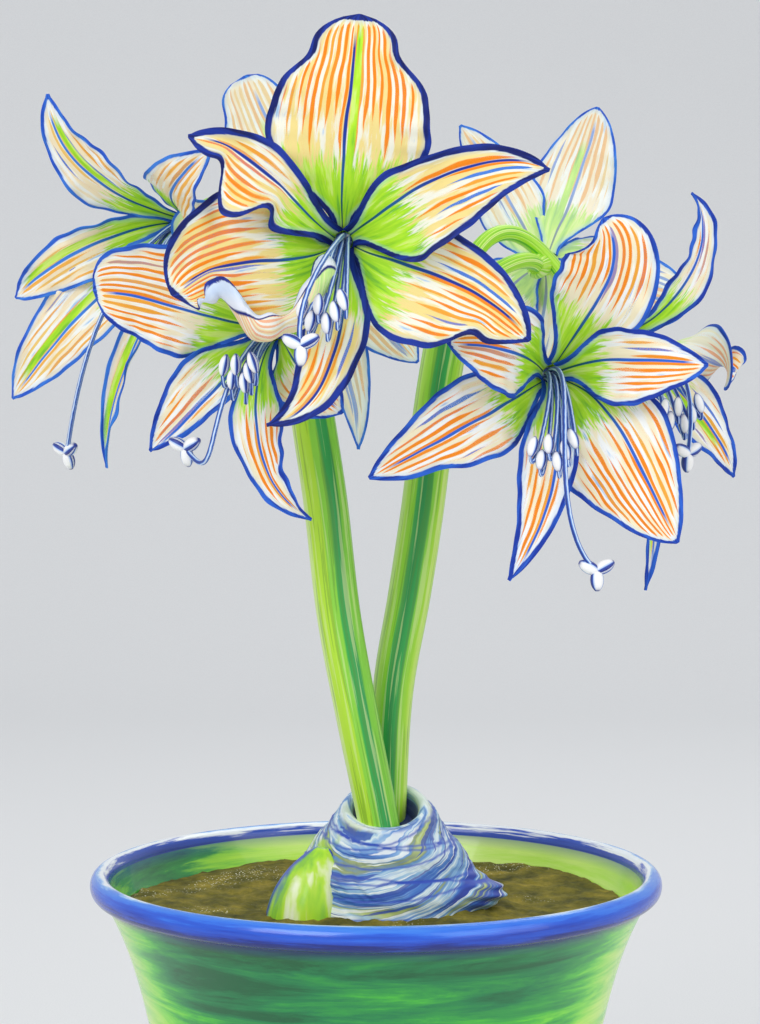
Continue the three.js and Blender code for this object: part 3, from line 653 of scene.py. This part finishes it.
# Petals
# Seven trumpet blooms of six petals each, three outer ones behind three inner ones, all grown out
# of a short tube. The petals are soft and a little fleshy, with a grooved midrib, ruffled margins
# and long coloured stripes, and the light shows the lime of the throat in them.

PETAL_ROWS, PETAL_COLUMNS = 64, 36
PETAL_HALF = 0.42
PLAIN = dict(
    left=21, right=21, full=0.5, taper=3, point=0.8, left_dents=(), right_dents=(), open=36, curl=96,
    sway=0, twist=0, trough=8, roll_left=0, roll_right=0, ruffle=1.6, waves=2.4, phase=0, lime=0.0,
)


def petal_row(root, around, reach, out, **own):
    """A petal: where on the bloom's clock face it leaves the tube, the place, the distance and the
    height of its tip, and what sets it apart from PLAIN."""
    return {**PLAIN, "root": root, "around": around, "reach": reach, "out": out, **own}


PETALS = {
    # left, right: half widths; lime: how far a lime band follows the midrib
    "left_front": (
        [
            petal_row(90, 85.5, 98, 18, left=37, right=37, taper=4.6, point=0.62,
                 open=40, left_dents=[(0.82, 8)], right_dents=[(0.84, 9)], waves=3.4, lime=0.98),
            petal_row(330, 331.5, 94, 16, left=24, right=35, full=0.42, taper=3,
                 sway=-22, right_dents=[(0.76, 10)], ruffle=2.6),
            petal_row(210, 198.5, 79, 18, left=78, right=34, sway=34, taper=4,
                 full=0.45, roll_left=250, left_dents=[(0.74, 44), (0.85, 26), (0.94, 12)],
                 ruffle=6, waves=2.2, phase=1.2),
        ],
        [
            petal_row(30, 18, 95, 26, left=14, right=29, full=0.35, taper=2.5,
                 curl=108, sway=-40, trough=12),
            petal_row(270, 248, 88, 30, left=16, right=19, taper=2.4, point=0.9,
                 sway=-55, trough=12),
            petal_row(150, 146.7, 80, 28, left=38, right=14, full=0.7, sway=34,
                 taper=2.6, left_dents=[(0.8, 19), (0.9, 9), (0.45, 13)], ruffle=3),
        ],
    ),
    "left_low": (
        [
            petal_row(216, 221.6, 66, 32, left=10, right=20, full=0.45, taper=2.6,
                 sway=-8),
            petal_row(90, 89, 50, -6, curl=125),
            petal_row(330, 312, 50, -4, curl=120),
        ],
        [
            petal_row(138, 157.8, 78, 20, left=24, right=29, full=0.45, taper=5,
                 point=0.55, sway=26, ruffle=2.2),
            petal_row(256, 288, 82, 26, left=19, right=13, taper=2.6, sway=45,
                 left_dents=[(0.72, 6)], twist=12),
            petal_row(30, 34, 46, -10, curl=128),
        ],
    ),
    "left_far": (
        [
            petal_row(160, 194, 73, 45, left=18, right=10, taper=3.6, sway=20,
                 ruffle=2.4, lime=0.9),
            petal_row(270, 252, 109, 50, left=10, right=10, taper=2, trough=60,
                 lime=0.95),
            petal_row(50, 36, 74, 22, left=18, right=16, curl=130),
        ],
        [
            petal_row(112, 108, 82, 32, left=17, right=16, sway=-24, taper=2.6,
                 twist=32, lime=0.9),
            petal_row(212, 218, 111, 50, left=20, right=20, taper=2.8, lime=0.9),
            petal_row(350, 8, 60, 6, left=16, right=16, curl=110),
        ],
    ),
    "left_back": (
        [
            petal_row(80, 68.6, 101, 14, left=18, right=27, full=0.6, taper=8,
                 point=0.5, right_dents=[(0.86, 5)], lime=0.8),
            petal_row(212, 225.5, 73, 12),
            petal_row(330, 312, 66, 8),
        ],
        [
            petal_row(264, 258.3, 100, 18, left=15, right=15, sway=14, taper=2.4),
            petal_row(20, 12, 56, 6, curl=122),
            petal_row(142, 112, 74, 16),
        ],
    ),
    "right_front": (
        [
            petal_row(62, 74.7, 70, 26, left=26, right=22, taper=6, point=0.7,
                 sway=58, left_dents=[(0.9, 7)], ruffle=2),
            petal_row(330, 302.2, 96, 20, left=25, right=39, full=0.5, taper=3,
                 ruffle=2.2),
            petal_row(210, 209.1, 104, 20, left=23, right=21,
                 left_dents=[(0.74, 5)], ruffle=2.8),
        ],
        [
            petal_row(16, -1, 64, 34, left=18, right=23, trough=16),
            petal_row(264, 253.5, 102, 26, left=12, right=19, sway=-20, taper=2.4),
            petal_row(150, 172, 58, 42, left=24, right=22, curl=130, trough=-10),
        ],
    ),
    "right_side": (
        [
            petal_row(36, 74, 75, 10, left=11, right=12, sway=66, taper=2.4,
                 curl=100),
            petal_row(300, 303, 78, 30, left=17, right=17, taper=2.6, lime=0.8),
            petal_row(180, 170, 42, -8, left=18, right=18, curl=130),
        ],
        [
            petal_row(0, 341, 46, 25, left=17, right=17, open=52, curl=140, taper=4,
                 point=0.6),
            petal_row(244, 266, 120, 28, left=12, right=12, taper=2, lime=0.9),
            petal_row(120, 128, 44, -8, left=18, right=18, curl=130),
        ],
    ),
    "right_back": (
        [
            petal_row(98, 106, 81.2, 18, left=23, right=23, taper=3.4, point=0.7,
                 lime=0.8),
            petal_row(330, 325, 66, 12),
            petal_row(206, 198.5, 74, 12, left=22, right=20, taper=5, point=0.6),
        ],
        [
            petal_row(36, 55, 86, 14, left=20, right=20),
            petal_row(274, 282, 74, 16),
            petal_row(156, 190, 48, 20, left=14, right=14),
        ],
    ),
}


def polar(around, reach, out):
    """A point of a bloom: its place on the clock face, its distance from the axis and how far it is
    in front of the throat."""
    a = np.radians(around)
    return np.stack([reach * np.cos(a), reach * np.sin(a), out + 0 * a], -1)


def leaning(around, lean):
    """A direction that leans off the bloom's axis towards that place on its clock face."""
    return polar(around, math.sin(math.radians(lean)), math.cos(math.radians(lean)))


def half_width(petal, share, side, dents):
    """From the midrib to a margin: the claw's width, then an eased rise to `full`, a fall to the tip
    that is rounder the larger `taper` is, and a bell-shaped notch at each dent."""
    notches = sum((deep * np.exp(-(((share - at) / 0.08) ** 2)) for at, deep in dents), 0 * share)
    body = (side * ease(share / petal["full"]) - notches)
    closing = np.maximum(0, 1 - share ** petal["taper"]) ** petal["point"]
    return np.maximum(0.8, 5.5 * (1 - share) ** 3 + body * closing)


def petal_sheet(petal, inner):
    """The middle layer of a petal: a midrib curve from the tube to the tip, with sections across it
    that bend round the bloom's axis, trough and roll, and a wave along both margins. It gives the
    points, the distance across from the midrib and the distance to the margin."""
    t = np.linspace(0, 1, PETAL_ROWS)[:, None]
    v = np.linspace(-1, 1, PETAL_COLUMNS + 1)[None, :]
    v = np.sign(v) * np.abs(v) ** 0.8
    foot = polar(petal["root"], THROAT - (3.1 if inner else 1.7), -9)
    tip = polar(petal["around"], petal["reach"], petal["out"])
    third = np.linalg.norm(tip - foot) * 0.38
    middle = bezier([
        foot, foot + leaning(petal["root"], petal["open"] - (5 if inner else 0)) * third,
        tip - leaning(petal["around"] + petal["sway"], petal["curl"]) * third, tip,
    ], PETAL_ROWS)[:, None]
    along = np.gradient(middle, axis=0)
    along /= np.linalg.norm(along, axis=-1, keepdims=True)
    across = polar(petal["root"] + (petal["around"] - petal["root"]) * t + 90, 1, 0)
    across = across - (across * along).sum(-1, keepdims=True) * along
    across /= np.linalg.norm(across, axis=-1, keepdims=True)
    twist = np.radians(petal["twist"] * t**1.5)[..., None]
    across = across * np.cos(twist) + np.cross(along, across) * np.sin(twist)
    face = np.cross(along, across)
    left = half_width(petal, t, petal["left"], petal["left_dents"])
    right = half_width(petal, t, petal["right"], petal["right_dents"])
    half = np.where(v > 0, left, right)
    off_axis = np.hypot(middle[..., 0], middle[..., 1])
    bend = np.minimum(half * np.maximum(0, along[..., 2]) / off_axis, 1.3) * (1 - 0.6 * t)
    bend = bend + math.radians(petal["trough"]) * ease(t / 0.6)
    roll = np.radians(np.where(v > 0, petal["roll_left"], petal["roll_right"]))
    roll = roll * ease(t / 0.3) * ease((1 - t) / 0.2)
    part = np.abs(v)[..., None] * (np.arange(16) + 0.5) / 16
    angle = bend[..., None] * part + roll[..., None] * part**3
    sideways = np.cos(angle).mean(-1) * np.abs(v)
    forwards = np.sin(angle).mean(-1) * np.abs(v)
    margin = np.abs(v) ** 2.2 * ease(t / 0.35) * ease((1 - t) / 0.12)
    swing = np.sin(2 * np.pi * petal["waves"] * t + petal["phase"] + np.where(v > 0, 0, 1.9))
    fine = 0.35 * np.sin(2 * np.pi * 3.1 * petal["waves"] * t + np.where(v > 0, 1, 2.7))
    across_mm = v * (0.65 * half + 0.35 * half.max(0))
    groove = 0.7 * np.exp(-((across_mm / 2.4) ** 2)) * ease(t / 0.2) * ease((1 - t) / 0.2)
    ribs = 0.12 * np.cos(2 * np.pi * across_mm / 4.6) * ease(t / 0.4) * ease((1 - t) / 0.15)
    tilt = (np.sign(v) * (bend * np.abs(v) + roll * np.abs(v) ** 3))[..., None]
    raised = (petal["ruffle"] * margin * (swing + fine) - groove + ribs)[..., None]
    sheet = middle + across * (np.sign(v) * half * sideways)[..., None]
    sheet = sheet + face * (half * forwards)[..., None]
    sheet = sheet + (face * np.cos(tilt) - across * np.sin(tilt)) * raised
    to_margin = np.minimum((1 - np.abs(v)) * half, (1 - t) * np.linalg.norm(tip - foot) * 1.1)
    return sheet, across_mm, to_margin


def blade(sheet):
    """A closed blade round a sheet: both faces set off along the sheet's own normals, thinner near
    the margin, and joined by a strip all round."""
    normal = np.cross(np.gradient(sheet, axis=0), np.gradient(sheet, axis=1))
    normal /= np.linalg.norm(normal, axis=-1, keepdims=True) + 1e-9
    rows, columns = sheet.shape[:2]
    v = np.abs(np.linspace(-1, 1, columns))[None, :, None]
    half = PETAL_HALF * (1 - 0.45 * v**8)
    front, back = sheet + normal * half, sheet - normal * half
    index = np.arange(rows * columns).reshape(rows, columns)
    quads = np.stack([index[:-1, :-1], index[1:, :-1], index[1:, 1:], index[:-1, 1:]], -1)
    quads = quads.reshape(-1, 4)
    count = rows * columns
    edge = np.concatenate([index[0, :-1], index[:-1, -1], index[-1, :0:-1], index[:0:-1, 0]])
    onward = np.roll(edge, -1)
    strip = np.stack([edge, onward, onward + count, edge + count], -1)
    faces = np.vstack([quads, quads[:, ::-1] + count, strip])
    return np.vstack([front.reshape(-1, 3), back.reshape(-1, 3)]), faces.tolist()


def striped_petal(name, ground, pale, stripe, line, line_width, ribbon=()):
    """Petal skin. `lay` is millimetres across and along the petal and to its margin, `own` is a
    petal's own number, the share of its length and how far its lime band reaches, and `back` is 1 on
    its back. Each stripe is a stroke, 3.4 mm from the next, with its own start, end and width; lime
    fills the throat in a star; a blue vein follows the midrib, and the margin is edged in a darker
    blue, which a `ribbon` of further edges follows on the back."""
    material, tree = finish(name, Roughness=0.6, Specular_IOR_Level=0.25)
    lay = mark_of(tree, "lay", out="Vector")
    own = mark_of(tree, "own", out="Vector")
    back = mark_of(tree, "back")
    across = add(tree, "SeparateXYZ", {0: lay}, out="X")
    margin = add(tree, "SeparateXYZ", {0: lay}, out="Z")
    number = add(tree, "SeparateXYZ", {0: own}, out="X")
    share = add(tree, "SeparateXYZ", {0: own}, out="Y")
    lime_end = add(tree, "SeparateXYZ", {0: own}, out="Z")
    seed = calc(tree, "MULTIPLY", number, 53.0)
    slow = scaled(tree, lay, (0.11, 0.03, 0))
    wander = noise(tree, slow, 1, 1, seed=seed)
    quick = scaled(tree, lay, (1.1, 0.09, 0))
    bristle = noise(tree, quick, 1, 4, seed=seed)
    wide = scaled(tree, lay, (0.3, 0.035, 0))
    wash = noise(tree, wide, 1, 3, seed=seed)

    # ground: cream with white washes and light-blue streaks of painted shade, placed at random, that
    # run along the petal
    colour = ramp(tree, wash, [
        (0.3, "#A9CDF2"), (0.36, pale), (0.45, pale), (0.52, ground), (0.8, ground),
    ])

    # stripes
    lane = calc(tree, "MULTIPLY_ADD", across, 1 / 3.4, wander)
    lane_number = calc(tree, "FLOOR", lane)
    in_lane = calc(tree, "FRACT", lane)
    in_lane = calc(tree, "SUBTRACT", in_lane, 0.5)
    in_lane = calc(tree, "ABSOLUTE", in_lane)
    pair = add(tree, "CombineXYZ", {0: lane_number, 1: seed})
    chance = add(tree, "TexWhiteNoise", {"Vector": pair}, out="Color", noise_dimensions="2D")
    start_chance = add(tree, "SeparateColor", {0: chance}, out=0)
    end_chance = add(tree, "SeparateColor", {0: chance}, out=1)
    width_chance = add(tree, "SeparateColor", {0: chance}, out=2)
    start = calc(tree, "MULTIPLY_ADD", start_chance, 0.24, 0.3)
    after = calc(tree, "SUBTRACT", share, start)
    begun = span(tree, after, 0.0, 0.14)
    end = calc(tree, "MULTIPLY_ADD", end_chance, 2.5, line_width + 0.4)
    before = calc(tree, "SUBTRACT", margin, end)
    unfinished = span(tree, before, -0.5, 1.5)
    width = calc(tree, "MULTIPLY_ADD", width_chance, 0.12, 0.08)
    width = calc(tree, "MULTIPLY_ADD", bristle, 0.26, width)
    width = calc(tree, "MULTIPLY", width, begun)
    width = calc(tree, "MULTIPLY", width, unfinished)
    within = calc(tree, "SUBTRACT", width, in_lane)
    stroke = span(tree, within, 0.0, 0.07)
    tint = ramp(tree, end_chance, [
        (0.0, stripe[0]), (0.6, stripe[0]), (0.72, stripe[1]), (0.88, stripe[1]), (0.93, "#3F7FDC"),
    ])
    colour = over(tree, stroke, colour, tint)

    # lime of the throat, and its band along the midrib
    point = calc(tree, "MULTIPLY_ADD", bristle, -0.5, share)
    star = span(tree, point, 0.13, 0.07)
    from_rib = calc(tree, "ADD", across, 1.6)
    from_rib = calc(tree, "ABSOLUTE", from_rib)
    band = span(tree, from_rib, 2.0, 1.6)
    left_over = calc(tree, "SUBTRACT", lime_end, share)
    reaches = span(tree, left_over, 0.0, 0.08)
    band = calc(tree, "MULTIPLY", band, reaches)
    lime = calc(tree, "MAXIMUM", star, band)
    limes = ramp(tree, wash, [
        (0.34, "#7CC638"), (0.42, "#A4E32C"), (0.54, "#BDF032"), (0.62, "#D8F57E"), (0.75, "#BDF032"),
    ])
    colour = over(tree, lime, colour, limes)

    # the blue vein beside the midrib, dark green where it starts
    off_vein = calc(tree, "MULTIPLY_ADD", wander, 2.4, across)
    off_vein = calc(tree, "SUBTRACT", off_vein, 2.6)
    off_vein = calc(tree, "ABSOLUTE", off_vein)
    vein = span(tree, off_vein, 0.95, 0.6)
    stops_at = span(tree, share, 0.93, 0.86)
    vein = calc(tree, "MULTIPLY", vein, stops_at)
    blues = ramp(tree, share, [
        (0.1, "#14605C"), (0.3, "#1E5FA0"), (0.5, line[1]), (1.0, line[1]),
    ])
    colour = over(tree, vein, colour, blues)

    # the back is paler, and a ribbon follows its margin where it is painted so
    faded = calc(tree, "MULTIPLY", back, 0.3)
    colour = over(tree, faded, colour, "#F2F5F4")
    for reach, code in ribbon:
        edge = span(tree, margin, reach, reach - 0.5)
        edge = calc(tree, "MULTIPLY", edge, back)
        colour = over(tree, edge, colour, code)

    # the margin: a light-blue band of painted shade, then the drawn line
    painted_shade_at_margin = span(tree, margin, line_width + 2.2, line_width, 0.4)
    colour = over(tree, painted_shade_at_margin, colour, "#A9CDF2")
    frayed = calc(tree, "MULTIPLY_ADD", bristle, 1.6, margin)
    thinner = 1.6 if ribbon else 0.3
    frayed = calc(tree, "MULTIPLY_ADD", back, thinner, frayed)
    rim = span(tree, frayed, line_width + 1.0, line_width + 0.6)
    rims = ramp(tree, wash, [(0.42, line[0]), (0.6, line[1])])
    colour = over(tree, rim, colour, rims)

    fibre = calc(tree, "MULTIPLY_ADD", in_lane, -0.6, bristle)
    return coated(material, colour, fibre, 0.25, 0.0008)


cream = striped_petal(
    "cream_striped_petal", "#F5DF90", "#F6F4E2", ("#F98A12", "#F5A838"), ("#101D66", "#1A379E"), 2.9,
    ((7.6, "#16247A"), (6.7, "#E9EEF9")),
)
white = striped_petal(
    "white_striped_petal", "#FAEFCC", "#FAFBF8", ("#F98C14", "#F5AC3C"), ("#1638A4", "#2A66D4"), 2.2,
)
tan = striped_petal(
    "pale_striped_petal", "#FAE9C4", "#F9FAF4", ("#F4B04A", "#F4CC74"), ("#2456C8", "#3B82E2"), 1.7,
)
PETAL_SKINS = {"left_front": cream, "left_low": white, "right_front": white, "right_side": white}

for number, (name, rows) in enumerate(PETALS.items()):
    _, _, throat, turned, lift = BLOOM_SEATS[name]
    axes = bloom_axes(turned, lift)
    parts, lay, own, back = [], [], [], []
    for count, petal in enumerate(rows[0] + rows[1]):
        sheet, across_mm, to_margin = petal_sheet(petal, count > 2)
        share = np.repeat(np.linspace(0, 1, PETAL_ROWS)[:, None], sheet.shape[1], 1)
        along_mm = share * (petal["reach"] * 1.15 + 10)
        tone = 0.137 * (6 * number + count + 1) % 1
        one_lay = np.stack([across_mm, along_mm, to_margin], -1).reshape(-1, 3)
        one_own = np.stack([0 * share + tone, share, 0 * share + petal["lime"]], -1).reshape(-1, 3)
        parts.append(blade(sheet))
        lay += [one_lay, one_lay]
        own += [one_own, one_own]
        back += [np.zeros(len(one_lay)), np.ones(len(one_lay))]
    height = np.array([-TUBE, -TUBE, -16, -11, -9, -9.5, -13, -13.5])
    radius = np.array([1, 4.6, 5.4, 6.2, 6.1, 5.4, 4.4, 1])
    tube = rings(radius, height, 36)
    parts.append(skin(tube))
    tube_size = len(parts[-1][0])
    lay.append(np.tile([3.0, 1.0, 30.0], (tube_size, 1)))
    own.append(np.tile([0.5, 0.02, 0.0], (tube_size, 1)))
    back.append(np.zeros(tube_size))
    points, faces = gathered(parts)
    points = points @ axes + throat
    marks = {"lay": np.vstack(lay), "own": np.vstack(own), "back": np.concatenate(back)}
    thing = shape(f"bloom_{name}", points, faces, PETAL_SKINS.get(name, tan), marks)
    stands_for(thing, f"petals_{name}")


# Stamens
# Six thin threads with a pollen bag on each, and a longer style that ends in three soft lobes. All
# of them rise from the bottom of the tube, gather under the axis and bend up at their ends.

THREADS = np.array([
    # root across, root up, end across, end up
    [-2.2, 1.2, -10, 2], [-2.2, -1.3, -6, -4], [0, 0, -2, 3], [0, -2.5, 2, -5],
    [2.2, -1.3, 6.2, 0], [2.2, 1.2, 10, 5],
])
STAMEN_BASE = -12.0
DISC_RADIUS = np.array([1, 3.9, 4.1, 3.9, 1])
DISC_HEIGHT = np.array([-0.7, -0.7, 0, 0.7, 0.7])
THREAD_RADIUS = 1.0
STYLE_RADIUS = 1.15
BAG_SIZE = (9.6, 2.5)  # length and radius of a pollen bag
LOBE_SIZE = (10, 3.0)  # length and radius of a lobe
STAMENS = {
    # bloom: where the pollen bags gather, the stigma, the last bend of the style, its lead
    "left_front": ((-8, -37, 56), (-17, -47, 66), (-4, 22, 2), 46),
    "left_low": ((10, -6, 44), (-22, -37, 46), (26, -20, 18), 66),
    "left_far": ((13, -25, 46), (-50, -93, 58), (26, 32, 8), 56),
    "left_back": ((0, -30, 58), (4, -44, 70), (-4, 22, 2), 46),
    "right_front": ((-12, -46, 50), (4, -96, 60), (-28, 22, 12), 66),
    "right_side": ((-8, -36, 46), (-10, -50, 54), (0, 20, 2), 46),
    "right_back": ((0, -30, 56), (6, -44, 68), (-4, 22, 2), 46),
}


def stamen_skin():
    """Smooth threads, streaked dark blue, light blue and white along their length, the dark blue
    standing in for painted shade and repeated three times round each; the pollen bags and the lobes are
    white with a dark blue seam along both sides and at both ends, and light-blue painted shade beside
    each seam. `kind` is 0 on a thread and 1 on a bag or a lobe, `way_round` is the share of a turn
    round it, and `tip` rises to 1 at its ends."""
    material, tree = finish("stamen_skin", Roughness=0.45, Sheen_Weight=0.1)
    kind = mark_of(tree, "kind")
    way_round = mark_of(tree, "way_round")
    place = add(tree, "TexCoord", out="Object")
    grain = noise(tree, place, 260, 2)
    turned = calc(tree, "MULTIPLY_ADD", grain, 0.1, way_round)
    turned = calc(tree, "MULTIPLY", turned, 3.0)
    turned = calc(tree, "FRACT", turned)
    # painted shade: the dark and light blue round each thread, three times round
    thread = ramp(tree, turned, [
        (0.0, "#16307E"), (0.3, "#1E4FB8"), (0.42, "#7FB2EC"), (0.55, "#F2F6FA"), (0.7, "#7FB2EC"),
        (0.82, "#1E4FB8"), (1.0, "#16307E"),
    ])
    seam = calc(tree, "MULTIPLY_ADD", way_round, 2.0, 0.1)
    seam = calc(tree, "FRACT", seam)
    # the light blue beside each dark seam is painted shade
    bag = ramp(tree, seam, [
        (0.0, "#16247A"), (0.17, "#2448AC"), (0.2, "#A9C6F0"), (0.3, "#FBFBFA"), (0.7, "#FBFBFA"),
        (0.8, "#A9C6F0"), (0.83, "#2448AC"), (1.0, "#16247A"),
    ])
    tip = mark_of(tree, "tip")
    bag = over(tree, tip, bag, "#1C3390")
    colour = over(tree, kind, thread, bag)
    return coated(material, colour, grain, 0.2, 0.0006)


def oval(start, direction, length, radius, blunt, sides):
    """A long oval body from a point along a direction, rounder at its ends the smaller `blunt` is."""
    share = np.linspace(0, 1, 12)
    route = np.asarray(start) + np.outer(share * length, direction)
    return stem(route, radius * np.sin(np.pi * np.clip(share, 0.02, 0.98)) ** blunt, sides)


threads_skin = stamen_skin()
for name, (gather, stigma, last_bend, lead) in STAMENS.items():
    _, _, throat, turned, lift = BLOOM_SEATS[name]
    gather, stigma = np.array(gather, float), np.array(stigma, float)
    grids, kinds = [], []
    grids.append(rings(DISC_RADIUS, STAMEN_BASE + DISC_HEIGHT, 24))
    kinds.append(0)
    for root_x, root_y, end_x, end_y in THREADS:
        root = np.array([root_x, root_y, STAMEN_BASE])
        end = gather + [end_x, end_y, end_x / 4]
        route = bezier([root, [root_x, root_y - 1, 25], end + [0, -15, 3], end], 30)
        grids.append(stem(route, THREAD_RADIUS - 0.25 * ease((np.linspace(0, 1, 30) - 0.8) / 0.2), 12))
        kinds.append(0)
        onward = np.array([-0.03 * end_x, 1, -0.2])
        grids.append(oval(end - onward * 0.4, onward, *BAG_SIZE, 0.55, 16))
        kinds.append(1)
    style = bezier([[0, 2.5, STAMEN_BASE], [0, 1, lead], stigma + last_bend, stigma], 40)
    grids.append(stem(style, np.full(40, STYLE_RADIUS), 12))
    kinds.append(0)
    for lean in (-118, 0, 118):
        lobe = np.array([math.sin(math.radians(lean)), -math.cos(math.radians(lean)), 0])
        grids.append(oval(stigma - lobe * 1.2, lobe, *LOBE_SIZE, 0.45, 20))
        kinds.append(1)
    points, faces = gathered([skin(grid) for grid in grids])
    sizes = [grid.shape[0] * grid.shape[1] + 2 for grid in grids]
    tips = np.concatenate([
        np.append(np.repeat(np.abs(np.linspace(-1, 1, grid.shape[0])) ** 8, grid.shape[1]), [1, 1])
        for grid in grids
    ])
    marks = {"way_round": turns(grids), "kind": np.repeat(kinds, sizes), "tip": tips}
    points = points @ bloom_axes(turned, lift) + throat
    thing = shape(f"stamens_of_{name}", points, faces, threads_skin, marks)
    stands_for(thing, f"stamens_{name}")


# Studio
# A pale sweep of paper under and far behind the plant, three large soft lamps and a pale room, with
# the camera where the eye of the picture is: 1.3 m in front, at the height of the blooms.

bend = np.linspace(0.1, 1.57, 16)
sweep_y = np.concatenate([[-3.0, 2.0], 2.0 + 1.2 * np.sin(bend), [3.2]])
sweep_z = np.concatenate([[0, 0], 1.2 - 1.2 * np.cos(bend), [5.0]])
paper = bpy.data.meshes.new("paper_sweep")
across = np.array([-3.0, 3.0])
paper_points = np.stack(
    [np.tile(across, len(sweep_y)), np.repeat(sweep_y, 2), np.repeat(sweep_z, 2)], -1
)
steps = 2 * np.arange(len(sweep_y) - 1)[:, None]
paper.from_pydata(paper_points.tolist(), [], (steps + [0, 1, 3, 2]).tolist())
paper.polygons.foreach_set("use_smooth", [True] * len(paper.polygons))
paper_skin, paper_tree = finish("backdrop_paper", Roughness=0.9)
paper_place = add(paper_tree, "TexCoord", out="Object")
paper_grain = noise(paper_tree, paper_place, 900, 2)
paper_tone = ramp(paper_tree, paper_grain, [(0.3, "#E4E5E6"), (0.7, "#EBECEC")])
paper_tree.links.new(paper_tone, paper_tree.nodes["Principled BSDF"].inputs["Base Color"])
paper.materials.append(paper_skin)
floor = bpy.data.objects.new("paper_sweep", paper)
bpy.context.scene.collection.objects.link(floor)

for name, place, size, power in (
    ("key_lamp", (-1.3, -1.9, 2.0), 1.6, 31), ("fill_lamp", (1.8, -1.6, 1.2), 2.0, 15),
    ("back_lamp", (0.6, 1.3, 2.2), 1.2, 9),
):
    lamp = bpy.data.lights.new(name, "AREA")
    lamp.size = size
    lamp.energy = power
    holder = bpy.data.objects.new(name, lamp)
    away = np.array([0, 0, 0.35]) - place
    holder.location = place
    holder.rotation_euler = (
        math.acos(-away[2] / np.linalg.norm(away)), 0, math.atan2(-away[0], away[1])
    )
    bpy.context.scene.collection.objects.link(holder)

world = bpy.data.worlds.new("pale_room")
world.use_nodes = True
world.node_tree.nodes["Background"].inputs["Color"].default_value = linear("#F2F4F8")
world.node_tree.nodes["Background"].inputs["Strength"].default_value = 0.7
bpy.context.scene.world = world
bpy.context.scene.view_settings.view_transform = "Standard"

camera = bpy.data.cameras.new("camera")
camera.lens = 95.2
camera.sensor_width = 36
eye = bpy.data.objects.new("camera", camera)
eye.location = (0.0019, -1.3, 0.451)
eye.rotation_euler = (math.radians(90 - 3.44), 0, 0)
bpy.context.scene.collection.objects.link(eye)
bpy.context.scene.camera = eye
